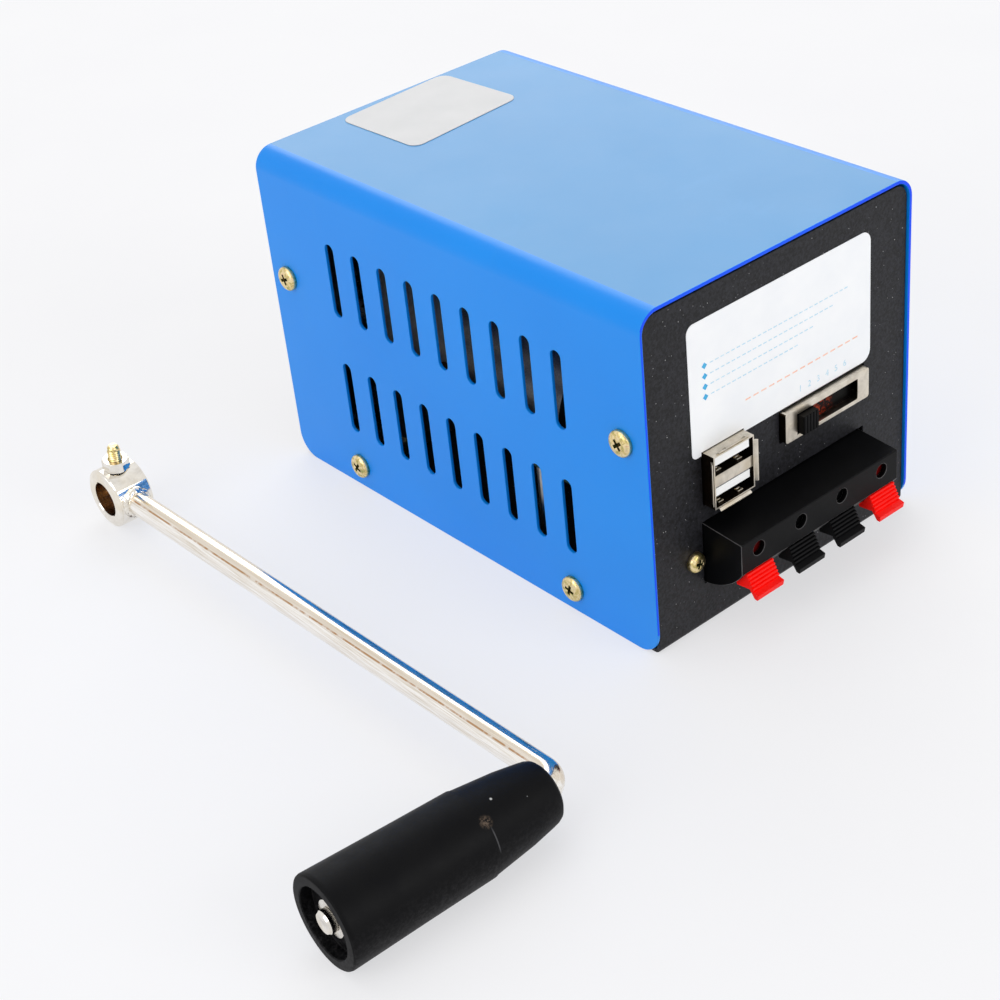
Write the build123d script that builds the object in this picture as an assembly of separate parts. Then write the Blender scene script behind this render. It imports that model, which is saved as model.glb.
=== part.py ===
from build123d import *

import os
from math import acos, asin, cos, degrees, pi, radians, sin, sqrt, tan

# Hand crank generator. A folded, vented cover and a folded chassis make a box. A two-stage gear
# train inside it drives a small dynamo; the output panel is in front, the driven shaft comes out
# behind, and the crank that fits it lies on the floor beside the box.
# Origin: centre of the box's underside. X is across, -Y faces the output panel, Z is up. Sizes in mm.

# Clearances
running_gap = 0.08          # radial, between a shaft and its bush
press_gap = 0.02            # radial, between pressed pieces
screw_gap = 0.1             # radial, round a screw's shank
slip_gap = 0.3              # between the cover and the chassis, and beside sliding pieces
end_gap = 0.3               # along a shaft, at its shoulders

# Cover
cover_length = 155.5
cover_width = 98.5
cover_height = 100.0
cover_sheet = 1.0
cover_bend_radius = 6.0
cover_foot_radius = 7.0
slot_width = 3.8
slot_length = 22.8
slot_pitch = 11.7
slots_per_row = 9
lower_slot_height = 30.4
upper_slot_height = 68.5

# Cover screws
cover_screw_head_radius = 3.7
cover_screw_head_height = 2.0
cover_screw_radius = 1.9
cover_screw_length = 6.5
upper_screw_height = 62.4
upper_screw_inset = 8.3
lower_screw_height = 7.5
lower_screw_inset = 31.3

# Chassis
chassis_sheet = 1.2
panel_recess = 0.7
panel_top_gap = 0.9
panel_corner_radius = 4.3
fold_radius = 2.0
panel_flange_depth = 14.0
panel_flange_foot = 18.0
panel_flange_margin = 8.0
floor_flange_height = 14.5
floor_flange_length = 112.0

# Labels
label_sheet = 0.2
label_corner_radius = 3.0
panel_label_width = 67.3
panel_label_height = 38.0
panel_label_x = 0.1
panel_label_foot = 52.3
sticker_width = 41.5
sticker_length = 33.0
sticker_corner_radius = 3.5
sticker_x = 0.6
sticker_y = 59.1
sticker_turn = 3.3          # degrees; it was put on slightly askew

# Double USB socket
usb_x = -22.5
usb_centre_height = 45.4
usb_width = 14.6
usb_height = 15.6
usb_proud = 4.0
usb_depth = 17.0
usb_sheet = 0.4
usb_lip_flare = 1.1
usb_lip_run = 1.0
usb_lip_trim = 1.6
usb_divider_height = 3.3
usb_divider_setback = 0.5
usb_tongue_width = 12.4
usb_tongue_thickness = 2.4
usb_tongue_drop = 0.5
usb_tongue_setback = 0.7
usb_core_depth = 5.0
usb_contact_width = 1.2
usb_contact_pitch = 2.3
usb_contact_sheet = 0.2
usb_contact_setback = 0.8   # behind the tongue's tip

# Slide switch
switch_x = 15.0
switch_centre_height = 47.1
switch_width = 32.5
switch_height = 9.0
switch_proud = 2.0
switch_depth = 8.0
switch_sheet = 0.5
switch_corner_radius = 0.8
window_width = 23.6
window_height = 6.0
window_drop = 0.3
switch_ear = 3.0
switch_base_thickness = 1.6
knob_width = 5.8
knob_proud = 1.75
knob_ribs = 5
knob_rib_height = 0.35
carriage_thickness = 1.2
carriage_overlap = 0.9
switch_pins = 7
switch_pin_pitch = 3.9
switch_pin_length = 4.5
switch_pin_radius = 0.6
switch_pin_rows = 4.0       # between the two rows

# Push terminal
terminal_x = -0.35
terminal_count = 4
terminal_pitch = 15.8
block_length = 60.2
block_foot = 13.85
block_top = 31.05
block_top_rise = 1.1        # the top slopes up to the panel
block_depth = 13.2
block_front_foot = 21.95
block_belly_out = 7.2
block_belly_height = 16.25
block_wall = 1.6
block_lid = 1.5
block_heel = 3.0
pocket_floor = 0.6          # from the belly's middle up to the levers' pockets
block_edge_round = 0.4
block_flange_thickness = 2.5
block_flange_length = 76.0
block_flange_foot = 9.35
block_flange_top = 35.05
wire_hole_radius = 2.1
wire_hole_height = 27.4
panel_screw_spread = 67.9
panel_screw_height = 22.45
panel_screw_head_radius = 2.8
panel_screw_head_height = 2.2
panel_screw_radius = 1.45
panel_screw_length = 7.0
opening_rise = 1.5

# Levers of the push terminal
lever_width = 9.8
lever_pivot_out = 2.5
lever_pivot_height = 27.55
lever_hub_radius = 1.7
lever_pin_radius = 0.9
lever_cheek = 1.4
lever_plate = 1.6
lever_tab_drop = 6.6
lever_tab_reach = 4.2
lever_lip = 1.3
lever_ribs = 5
lever_rib_height = 0.45
contact_width = 3.6
contact_sheet = 0.35
contact_tail = 7.5
spring_width = 3.4
spring_sheet = 0.35
spring_gap = 0.1

# Gear train
pressure_angle = 25.0
tooth_top = 0.8             # in modules, above the pitch circle
tooth_foot = 1.05           # in modules, below the pitch circle
backlash = 0.07             # in modules
first_module = 1.0
main_teeth = 60
second_pinion_teeth = 12
second_module = 0.8
second_teeth = 50
motor_pinion_teeth = 10
crank_axis_height = 55.0
second_axis_angle = 243.6   # degrees from +X towards +Z, crank axis to second axis
motor_axis_angle = 0.0      # degrees, second axis to motor axis
main_gear_width = 5.0
main_hub_radius = 9.0
main_web_holes = 5
main_web_hole_radius = 5.0
main_web_hole_circle = 18.5
second_gear_width = 4.0
second_hub_radius = 6.0
motor_pinion_width = 7.0
motor_pinion_offset = 1.0   # towards the rear, from the middle of the second wheel
second_gear_gap = 2.4       # from the front bush's end play to the second wheel
second_pinion_gap = 1.5     # between the second wheel and its pinion
main_gear_gap = 4.0         # from the main wheel to the rear bush's end play
gear_plate_width = 73.6
gear_plate_foot = 2.7
gear_plate_top = 88.0
gear_plate_sheet = 2.0
gear_space = 24.3
pillar_radius = 3.0
pillar_margin = 3.4
gear_screw_radius = 1.4
gear_screw_length = 7.0
gear_screw_head_radius = 2.9
gear_screw_head_height = 1.8

# Crankshaft and its bushes
crank_stub_radius = 5.25
crank_stub_length = 15.8
crank_shaft_radius = 6.0
crank_dimple_radius = 1.5
crank_dimple_depth = 0.8
crank_journal_radius = 4.0
crank_bush_wall = 2.2
crank_bush_flange = 2.6
crank_bush_flange_thickness = 1.4
second_shaft_radius = 2.5
second_bush_wall = 2.0
bush_flange = 1.0
bush_flange_thickness = 1.0

# Dynamo
can_radius = 21.0
can_length = 50.0
can_sheet = 1.5
can_boss_radius = 5.0
magnet_thickness = 3.2
magnet_angle = 120.0
magnet_setback = 7.0        # from the can's closed end
magnet_mouth_gap = 9.5      # to the can's open end
air_gap = 0.7
armature_inset = 2.0        # inside each end of the magnets
armature_slots = 7
armature_slot_width = 2.2
armature_slot_depth = 5.5
winding_radius = 12.5
winding_length = 4.0
commutator_radius = 4.5
commutator_length = 8.0
motor_shaft_radius = 1.6
cap_length = 7.0
cap_wall = 2.0
brush_width = 4.0
brush_length = 5.0
motor_screw_circle = 14.0
motor_screw_radius = 1.4
motor_screw_length = 4.5

# Circuit board
board_side_gap = 2.55
board_length = 50.0
board_thickness = 1.6
board_front_gap = 3.3
board_pillar_radius = 3.0
board_pillar_inset = 5.0
board_screw_radius = 1.4
board_screw_length = 5.0
board_screw_head_radius = 2.8
board_screw_head_height = 1.8
capacitor_radius = 6.3
capacitor_height = 22.0
choke_radius = 9.0
choke_bore = 4.5
choke_width = 7.0
choke_gap = 1.0             # to the heat sink
sink_width = 24.0
sink_height = 20.0
sink_back = 3.0
sink_fins = 6
sink_fin = 1.3
sink_fin_length = 10.0
regulator_width = 10.0
regulator_height = 15.0
regulator_thickness = 4.5

# Crank
crank_x = -107.5
crank_y = 88.0
collar_radius = 9.1
collar_length = 11.4
collar_fit_gap = 0.1
collar_chamfer = 0.5
arm_length = 192.6
arm_radius = 3.55
arm_bend_radius = 4.6
weld_bead = 1.6
spindle_radius = 3.0
spindle_start = 5.2
spindle_length = 66.3
spindle_overbend = 3.0      # degrees that the spindle is bent past square
spindle_groove = 0.6
grip_radius = 12.0
grip_waist_radius = 11.1
grip_neck_radius = 8.2
grip_length = 62.1
grip_taper_start = 40.3
grip_end_round = 3.0
grip_edge_round = 0.8
grip_recess_radius = 9.0
grip_recess_depth = 3.4
grip_step = 0.2
grip_mouth_radius = 4.1
grip_mouth_depth = 1.4
washer_radius = 4.8
washer_thickness = 1.0
clamp_screw_radius = 1.95
clamp_screw_top = 16.9
clamp_screw_lean = 6.0      # degrees about the collar
clamp_nut_width = 7.0
clamp_nut_height = 3.2

# Derived places
cover_inside = cover_width / 2 - cover_sheet
chassis_half = cover_inside - slip_gap
board_width = 2 * (chassis_half - chassis_sheet - board_side_gap)
panel_face = cover_length / 2 - panel_recess
panel_back = panel_face - chassis_sheet
panel_top = cover_height - cover_sheet - panel_top_gap
gear_plate_front = panel_back - gear_plate_sheet - gear_space - gear_plate_sheet
gear_front = gear_plate_front + gear_plate_sheet
gear_rear = gear_front + gear_space
magnet_length = can_length - can_sheet - magnet_setback - magnet_mouth_gap
armature_length = magnet_length - 2 * armature_inset
board_top = usb_centre_height - usb_height / 2
board_under = board_top - board_thickness
board_front = -panel_face + chassis_sheet + board_front_gap
board_rear = board_front + board_length
lever_slot_width = lever_width + 2 * slip_gap
first_centres = first_module * (main_teeth + second_pinion_teeth) / 2
second_centres = second_module * (second_teeth + motor_pinion_teeth) / 2
second_axis_x = first_centres * cos(radians(second_axis_angle))
second_axis_height = crank_axis_height + first_centres * sin(radians(second_axis_angle))
motor_axis_x = second_axis_x + second_centres * cos(radians(motor_axis_angle))
motor_axis_height = second_axis_height + second_centres * sin(radians(motor_axis_angle))


def block(x0, x1, y0, y1, z0, z1):
    """Box between three pairs of planes."""
    return Pos((x0 + x1) / 2, (y0 + y1) / 2, (z0 + z1) / 2) * Box(x1 - x0, y1 - y0, z1 - z0)


def panel_block(x0, x1, out0, out1, z0, z1):
    """Box placed by its distance out of the output panel's face."""
    return block(x0, x1, -panel_face - out1, -panel_face - out0, z0, z1)


def bar_x(radius, y, z, x0, x1):
    """Round bar along X."""
    bar = Cylinder(radius, x1 - x0, align=(Align.CENTER, Align.CENTER, Align.MIN))
    return Pos(x0, y, z) * Rot(0, 90, 0) * bar


def bar_y(radius, x, z, y0, y1):
    """Round bar along Y."""
    bar = Cylinder(radius, y1 - y0, align=(Align.CENTER, Align.CENTER, Align.MIN))
    return Pos(x, y0, z) * Rot(-90, 0, 0) * bar


def bar_z(radius, x, y, z0, z1):
    """Round bar along Z."""
    return Pos(x, y, z0) * Cylinder(radius, z1 - z0, align=(Align.CENTER, Align.CENTER, Align.MIN))


def tube_y(outer_radius, inner_radius, x, z, y0, y1):
    """Round tube along Y."""
    return bar_y(outer_radius, x, z, y0, y1) - bar_y(inner_radius, x, z, y0 - 1, y1 + 1)


def panel_profile(points, x0, x1):
    """Solid along X from a side outline given as (distance out of the panel, height)."""
    outline = Polyline(*[(-panel_face - out, z) for out, z in points], close=True)
    return extrude(Plane.YZ.offset(x0) * make_face(outline), x1 - x0)


def pan_screw(head_radius, head_height, shank_radius, shank_length):
    """Screw along Z, its domed head above z = 0."""
    head = Cylinder(head_radius, head_height, align=(Align.CENTER, Align.CENTER, Align.MIN))
    head = fillet(head.edges().group_by(Axis.Z)[-1], 0.75 * head_height)
    shank = Cylinder(shank_radius, shank_length, align=(Align.CENTER, Align.CENTER, Align.MAX))
    return head + shank


def group(pieces):
    """Separate solids kept in one node."""
    return Compound([solid for piece in pieces for solid in piece.solids()])


def side_screw_places():
    """Side, y and height of each cover screw."""
    places = []
    for side in (-1, 1):
        for end in (-1, 1):
            places.append((side, end * (cover_length / 2 - upper_screw_inset), upper_screw_height))
            places.append((side, end * (cover_length / 2 - lower_screw_inset), lower_screw_height))
    return places


def cover():
    """Top and two sides folded from one sheet, with obround vents."""
    shell = Box(cover_width, cover_length, cover_height, align=(Align.CENTER, Align.CENTER, Align.MIN))
    shell = fillet(shell.edges().filter_by(Axis.Y).group_by(Axis.Z)[-1], cover_bend_radius)
    hollow = block(-cover_inside, cover_inside, -cover_length, cover_length, -1, cover_height - cover_sheet)
    hollow = fillet(hollow.edges().filter_by(Axis.Y).group_by(Axis.Z)[-1], cover_bend_radius - cover_sheet)
    shell -= hollow
    shell = fillet(shell.edges().filter_by(Axis.X).group_by(Axis.Z)[0], cover_foot_radius)
    slots = [
        Pos((place - (slots_per_row - 1) / 2) * slot_pitch, height)
        * SlotOverall(slot_length, slot_width, rotation=90)
        for height in (lower_slot_height, upper_slot_height)
        for place in range(slots_per_row)
    ]
    shell -= extrude(Plane.YZ * (Sketch() + slots), cover_width, both=True)
    for side, y, z in side_screw_places():
        reach = sorted((side * (cover_inside - 1), side * cover_width))
        shell -= bar_x(cover_screw_radius + screw_gap, y, z, *reach)
    return shell


def cover_screws():
    """Eight screws that hold the cover to the chassis flanges."""
    screw = pan_screw(
        cover_screw_head_radius, cover_screw_head_height, cover_screw_radius, cover_screw_length
    )
    return group(
        Pos(side * cover_width / 2, y, z) * Rot(0, side * 90, 0) * screw
        for side, y, z in side_screw_places()
    )


def fold_trim(length):
    """Waste outside a fold: a square corner less the fold's round, along Z, corner at the origin."""
    corner = Pos(-fold_radius, -1) * Rectangle(
        fold_radius + 1, fold_radius + 1, align=(Align.MIN, Align.MIN)
    )
    corner -= Pos(-fold_radius, fold_radius) * Circle(fold_radius)
    return extrude(corner, length)


def board_pillar_places():
    """x and y of the circuit board's pillars."""
    return [
        (x * (board_width / 2 - board_pillar_inset), y)
        for x in (-1, 1)
        for y in (board_front + board_pillar_inset, board_rear - board_pillar_inset)
    ]


def gear_pillar_places():
    """x and height of the gearbox pillars."""
    return [
        (x * (gear_plate_width / 2 - pillar_margin), z)
        for x in (-1, 1)
        for z in (gear_plate_foot + pillar_margin, gear_plate_top - pillar_margin)
    ]


def chassis():
    """Floor, output panel and rear panel folded from one sheet, with flanges for the cover."""
    outside = block(-chassis_half, chassis_half, -panel_face, panel_face, 0, panel_top)
    outside = fillet(outside.edges().filter_by(Axis.X).group_by(Axis.Z)[0], fold_radius)
    outside = fillet(outside.edges().filter_by(Axis.Y).group_by(Axis.Z)[-1], panel_corner_radius)
    inside = block(
        -cover_width, cover_width, -panel_back, panel_back, chassis_sheet, cover_height
    )
    inside = fillet(inside.edges().filter_by(Axis.X).group_by(Axis.Z)[0], fold_radius - chassis_sheet)
    frame = outside - inside
    flange_in = chassis_half - chassis_sheet
    for side in (-1, 1):
        edge = sorted((side * flange_in, side * chassis_half))
        half = floor_flange_length / 2
        frame += block(*edge, -half, half, 0, floor_flange_height)
        trim = Pos(chassis_half, half, 0) * Rot(90, 0, 0) * fold_trim(floor_flange_length)
        frame -= trim if side > 0 else mirror(trim, about=Plane.YZ)
        for end in (-1, 1):
            reach = sorted((end * panel_back, end * (panel_back - panel_flange_depth)))
            frame += block(*edge, *reach, panel_flange_foot, panel_top - panel_flange_margin)
    for side, y, z in side_screw_places():
        reach = sorted((side * (flange_in - 1), side * cover_inside))
        frame -= bar_x(cover_screw_radius + screw_gap, y, z, *reach)
    usb_half = usb_width / 2 + slip_gap
    usb_rise = usb_height / 2 + slip_gap
    frame -= panel_block(
        usb_x - usb_half, usb_x + usb_half, -chassis_sheet - 1, 1,
        usb_centre_height - usb_rise, usb_centre_height + usb_rise,
    )
    switch_half = switch_width / 2 + slip_gap
    switch_rise = switch_height / 2 + slip_gap
    frame -= panel_block(
        switch_x - switch_half, switch_x + switch_half, -chassis_sheet - 1, 1,
        switch_centre_height - switch_rise, switch_centre_height + switch_rise,
    )
    frame -= panel_block(
        terminal_x - block_length / 2 - slip_gap, terminal_x + block_length / 2 + opening_rise,
        -chassis_sheet - 1, 1, block_foot - slip_gap, block_top + opening_rise,
    )
    for side in (-1, 1):
        x = terminal_x + side * panel_screw_spread / 2
        frame -= bar_y(panel_screw_radius + screw_gap, x, panel_screw_height, -panel_face - 1, -panel_back + 1)
    bush_radius = crank_shaft_radius + running_gap + crank_bush_wall + press_gap
    frame -= bar_y(bush_radius, 0, crank_axis_height, panel_back - 1, panel_face + 1)
    for x, z in gear_pillar_places():
        frame -= bar_y(gear_screw_radius + screw_gap, x, z, panel_back - 1, panel_face + 1)
    for x, y in board_pillar_places():
        frame -= bar_z(board_pillar_radius / 2 + press_gap, x, y, -1, chassis_sheet + 1)
    return frame


def usb_shell():
    """Sheet-metal tube round both sockets, with a folded divider and four flared lips."""
    x0 = usb_x - usb_width / 2
    x1 = usb_x + usb_width / 2
    z0 = usb_centre_height - usb_height / 2
    z1 = usb_centre_height + usb_height / 2
    back = usb_proud - usb_depth
    lip_root = usb_proud - usb_lip_run
    shell = panel_block(x0, x1, back, usb_proud, z0, z1)
    shell -= panel_block(
        x0 + usb_sheet, x1 - usb_sheet, back + usb_sheet, usb_proud + 1, z0 + usb_sheet, z1 - usb_sheet
    )
    half = usb_divider_height / 2
    front = usb_proud - usb_divider_setback
    divider = panel_block(
        x0 + usb_sheet, x1 - usb_sheet, back + usb_core_depth, front,
        usb_centre_height - half, usb_centre_height + half,
    )
    divider -= panel_block(
        x0, x1, back, front - usb_sheet,
        usb_centre_height - half + usb_sheet, usb_centre_height + half - usb_sheet,
    )
    shell += divider
    lip = [
        (lip_root, -usb_sheet), (usb_proud + usb_sheet, usb_lip_flare - usb_sheet),
        (usb_proud + usb_sheet, usb_lip_flare), (lip_root, 0),
    ]
    shell += panel_profile([(out, z1 + rise) for out, rise in lip], x0 + usb_lip_trim, x1 - usb_lip_trim)
    shell += panel_profile([(out, z0 - rise) for out, rise in lip], x0 + usb_lip_trim, x1 - usb_lip_trim)
    for side in (-1, 1):
        outline = Polyline(
            *[(usb_x + side * (usb_width / 2 + rise), -panel_face - out) for out, rise in lip], close=True
        )
        low = z0 + usb_lip_trim
        shell += extrude(Plane.XY.offset(low) * make_face(outline), usb_height - 2 * usb_lip_trim)
    return shell


def usb_tongue_height(level):
    """Underside of a socket's tongue: level 0 is the lower socket, 1 the upper."""
    lower_roof = usb_centre_height - usb_divider_height / 2
    upper_roof = usb_centre_height + usb_height / 2 - usb_sheet
    roof = upper_roof if level else lower_roof
    return roof - usb_tongue_drop - usb_tongue_thickness


def usb_core():
    """Moulded insulator: two tongues on a solid rear block."""
    wall = usb_sheet + press_gap
    back = usb_proud - usb_depth + wall
    core = panel_block(
        usb_x - usb_width / 2 + wall, usb_x + usb_width / 2 - wall, back, back + usb_core_depth - 1,
        usb_centre_height - usb_height / 2 + wall, usb_centre_height + usb_height / 2 - wall,
    )
    half = usb_tongue_width / 2
    for level in (0, 1):
        foot = usb_tongue_height(level)
        core += panel_block(
            usb_x - half, usb_x + half, back, usb_proud - usb_tongue_setback,
            foot, foot + usb_tongue_thickness,
        )
    return core


def usb_contacts():
    """Four gilt strips under each tongue."""
    strips = []
    for level in (0, 1):
        foot = usb_tongue_height(level)
        for place in range(4):
            x = usb_x + (place - 1.5) * usb_contact_pitch
            strips.append(panel_block(
                x - usb_contact_width / 2, x + usb_contact_width / 2,
                usb_proud - usb_depth + usb_core_depth, usb_proud - usb_tongue_setback - usb_contact_setback,
                foot - usb_contact_sheet, foot,
            ))
    return group(strips)


def window_height_centre():
    """Height of the middle of the switch's window."""
    return switch_centre_height - window_drop


def switch_frame():
    """Drawn steel frame of the slide switch, with its window and rear ears."""
    half = switch_width / 2
    rise = switch_height / 2
    z = switch_centre_height
    back = switch_proud - switch_depth
    frame = panel_block(switch_x - half, switch_x + half, back, switch_proud, z - rise, z + rise)
    frame = fillet(frame.edges().filter_by(Axis.Y), switch_corner_radius)
    frame -= panel_block(
        switch_x - half + switch_sheet, switch_x + half - switch_sheet, back - 1,
        switch_proud - switch_sheet, z - rise + switch_sheet, z + rise - switch_sheet,
    )
    middle = window_height_centre()
    frame -= panel_block(
        switch_x - window_width / 2, switch_x + window_width / 2, 0, switch_proud + 1,
        middle - window_height / 2, middle + window_height / 2,
    )
    ears = panel_block(
        switch_x - half - switch_ear, switch_x + half + switch_ear,
        -chassis_sheet - switch_sheet, -chassis_sheet, z - rise, z + rise,
    )
    ears -= panel_block(
        switch_x - half + switch_sheet, switch_x + half - switch_sheet, -chassis_sheet - 2, 0,
        z - rise + switch_sheet, z + rise - switch_sheet,
    )
    return frame + ears


def switch_base():
    """Laminate board that closes the back of the switch."""
    back = switch_proud - switch_depth
    half = switch_width / 2
    rise = switch_height / 2
    base = panel_block(
        switch_x - half, switch_x + half, back - switch_base_thickness, back,
        switch_centre_height - rise, switch_centre_height + rise,
    )
    for x, z in switch_pin_places():
        base -= bar_y(switch_pin_radius + press_gap, x, z, -panel_face - back - 1, -panel_face - back + 3)
    return base


def switch_pin_places():
    """x and height of the switch's rear pins, in two rows."""
    return [
        (
            switch_x + (place - (switch_pins - 1) / 2) * switch_pin_pitch,
            switch_centre_height + row * switch_pin_rows / 2,
        )
        for row in (-1, 1)
        for place in range(switch_pins)
    ]


def switch_rear_pins():
    """Solder pins riveted in the laminate board."""
    back = switch_proud - switch_depth
    start = -panel_face - back
    return group(
        bar_y(switch_pin_radius, x, z, start, start + switch_pin_length) for x, z in switch_pin_places()
    )


def switch_knob():
    """Ribbed slider in the left-hand end of the window, on the carriage that keeps it in."""
    left = switch_x - window_width / 2 + slip_gap
    right = left + knob_width
    middle = window_height_centre()
    rise = window_height / 2 - slip_gap
    inner = switch_proud - switch_sheet - slip_gap
    face = switch_proud + knob_proud
    step = knob_width / knob_ribs
    outline = [(left, inner), (left, face)]
    for rib in range(knob_ribs):
        start = left + rib * step
        outline += [(start + 0.2 * step, face + knob_rib_height), (start + 0.8 * step, face + knob_rib_height)]
        outline += [(start + step, face)]
    outline.append((right, inner))
    path = Polyline(*[(x, -panel_face - out) for x, out in outline], close=True)
    knob = extrude(Plane.XY.offset(middle - rise) * make_face(path), 2 * rise)
    knob += panel_block(
        left - carriage_overlap + slip_gap, right + carriage_overlap, inner - carriage_thickness, inner,
        middle - rise - carriage_overlap, middle + rise + carriage_overlap,
    )
    return knob


def lever_places():
    """x of the middle of each lever."""
    return [
        terminal_x + (place - (terminal_count - 1) / 2) * terminal_pitch
        for place in range(terminal_count)
    ]


def terminal_block():
    """Moulded block with a rounded belly, a pocket for each lever and a flange behind the panel."""
    x0 = terminal_x - block_length / 2
    x1 = terminal_x + block_length / 2
    back = -panel_face + chassis_sheet
    belly = ThreePointArc(
        (-panel_face, block_foot), (-panel_face - block_belly_out, block_belly_height),
        (-panel_face - block_depth, block_front_foot),
    )
    rest = Polyline(
        (-panel_face - block_depth, block_front_foot), (-panel_face - block_depth, block_top),
        (-panel_face, block_top + block_top_rise), (back, block_top + block_top_rise),
        (back, block_foot), (-panel_face, block_foot),
    )
    body = extrude(Plane.YZ.offset(x0) * make_face(belly + rest), block_length)
    body = fillet(body.edges().filter_by(Axis.X).group_by(Axis.Y)[0].sort_by(Axis.Z)[-1], block_edge_round)
    half = block_flange_length / 2
    body += panel_block(
        terminal_x - half, terminal_x + half, -chassis_sheet - block_flange_thickness, -chassis_sheet,
        block_flange_foot, block_flange_top,
    )
    inner_front = block_depth - block_wall
    roof = block_top - block_lid
    for x in lever_places():
        low, high = x - lever_slot_width / 2, x + lever_slot_width / 2
        body -= panel_block(low, high, -chassis_sheet, inner_front, block_belly_height + pocket_floor, roof)
        body -= panel_block(low, high, block_heel, block_depth + 1, block_foot - 1, block_front_foot)
        body -= bar_y(
            wire_hole_radius, x, wire_hole_height, -panel_face - block_depth - 1, -panel_face - inner_front + 1
        )
        body -= panel_block(
            x - contact_width / 2 - press_gap, x + contact_width / 2 + press_gap,
            -chassis_sheet - block_flange_thickness - 1, 0, roof - contact_sheet - press_gap, roof,
        )
    pin = lever_pin_half()
    body -= bar_x(
        lever_pin_radius + press_gap, -panel_face - lever_pivot_out, lever_pivot_height,
        terminal_x - pin, terminal_x + pin,
    )
    for side in (-1, 1):
        x = terminal_x + side * panel_screw_spread / 2
        body -= bar_y(panel_screw_radius + screw_gap, x, panel_screw_height, back - 1, back + block_flange_thickness + 1)
    return body


def lever_pin_half():
    """Half length of the pin that all levers turn on; it stops inside the block's end walls."""
    return (terminal_count - 1) / 2 * terminal_pitch + lever_slot_width / 2


def lever_pin():
    """Steel pin through the block's partitions and the levers' hubs."""
    half = lever_pin_half() - press_gap
    return bar_x(
        lever_pin_radius, -panel_face - lever_pivot_out, lever_pivot_height,
        terminal_x - half, terminal_x + half,
    )


def lever(x):
    """Push lever: ribbed tab, front plate that lifts a wire against its contact, two cheeks with hubs."""
    plate_front = block_depth - block_wall - slip_gap
    plate_back = plate_front - lever_plate
    roof = block_top - block_lid - contact_sheet - slip_gap
    shelf = block_front_foot - slip_gap
    tab_root = block_depth - slip_gap
    tab_foot = shelf - lever_tab_drop
    lip_out = tab_root + lever_tab_reach
    rib_end_out = tab_root + 0.55 * lever_tab_reach
    rib_end_height = tab_foot + 0.32 * lever_tab_drop
    ribs = []
    for rib in range(lever_ribs):
        for share, lift in ((0.0, 0.0), (0.3, 1.0), (0.75, 1.0)):
            along = (rib + share) / lever_ribs
            ribs.append((
                tab_root + along * (rib_end_out - tab_root) + lift * lever_rib_height,
                shelf + along * (rib_end_height - shelf) + lift * 0.5 * lever_rib_height,
            ))
    outline = [
        (lever_pivot_out, lever_pivot_height + lever_hub_radius),
        (plate_front, roof), (plate_front, shelf),
        *ribs,
        (rib_end_out, rib_end_height), (lip_out, rib_end_height - 0.5), (lip_out - 0.3, tab_foot),
        (lip_out - lever_lip, tab_foot + 0.1), (tab_root + 0.3 * lever_tab_reach, tab_foot + 2.4),
        (plate_back, tab_foot + 1.9), (plate_back - 1.0, shelf + 0.4),
        (lever_pivot_out, lever_pivot_height - lever_hub_radius),
    ]
    low, high = x - lever_width / 2, x + lever_width / 2
    body = panel_profile(outline, low, high)
    body += bar_x(lever_hub_radius, -panel_face - lever_pivot_out, lever_pivot_height, low, high)
    body -= panel_block(low + lever_cheek, high - lever_cheek, -2, plate_back, tab_foot, block_top)
    body -= bar_x(
        lever_pin_radius + running_gap, -panel_face - lever_pivot_out, lever_pivot_height, low - 1, high + 1
    )
    return body


def terminal_contacts():
    """Tinned strips along the block's roof, over the levers' plates, with tails behind the panel."""
    roof = block_top - block_lid
    front = block_depth - block_wall - slip_gap
    return group(
        panel_block(
            x - contact_width / 2, x + contact_width / 2, -contact_tail, front, roof - contact_sheet, roof
        )
        for x in lever_places()
    )


def lever_spring(x):
    """Leaf spring between the panel's side of the pocket and the lever's front plate."""
    plate_back = block_depth - block_wall - slip_gap - lever_plate
    foot = block_belly_height + pocket_floor + slip_gap
    rear = -chassis_sheet + spring_sheet / 2 + spring_gap
    front = plate_back - spring_sheet / 2 - spring_gap
    line = [(rear, foot), (rear, block_front_foot + 2), (front, block_front_foot - 1.6), (front, foot + 0.6)]
    strip = trace(
        Polyline(*[(-panel_face - out, z) for out, z in line]), line_width=spring_sheet
    )
    return extrude(Plane.YZ.offset(x - spring_width / 2) * strip, spring_width)


def panel_screws():
    """Two screws beside the terminal block, into its flange."""
    screw = pan_screw(
        panel_screw_head_radius, panel_screw_head_height, panel_screw_radius, panel_screw_length
    )
    return group(
        Pos(terminal_x + side * panel_screw_spread / 2, -panel_face, panel_screw_height)
        * Rot(90, 0, 0) * screw
        for side in (-1, 1)
    )


def panel_label():
    """Bare label on the output panel, notched round the USB socket."""
    sheet = Pos(panel_label_x, panel_label_foot + panel_label_height / 2) * RectangleRounded(
        panel_label_width, panel_label_height, label_corner_radius
    )
    label = Pos(0, -panel_face, 0) * extrude(Plane.XZ * sheet, label_sheet)
    notch = usb_width / 2 + 2 * slip_gap
    return label - panel_block(
        usb_x - notch, usb_x + notch, -1, 1,
        usb_centre_height, usb_centre_height + usb_height / 2 + 2 * slip_gap,
    )


def top_sticker():
    """Bare sticker near the rear of the cover's top."""
    sheet = Pos(sticker_x, sticker_y) * Rot(0, 0, sticker_turn) * RectangleRounded(
        sticker_width, sticker_length, sticker_corner_radius
    )
    return extrude(Plane.XY.offset(cover_height) * sheet, label_sheet)


def involute(angle):
    return tan(angle) - angle


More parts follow.
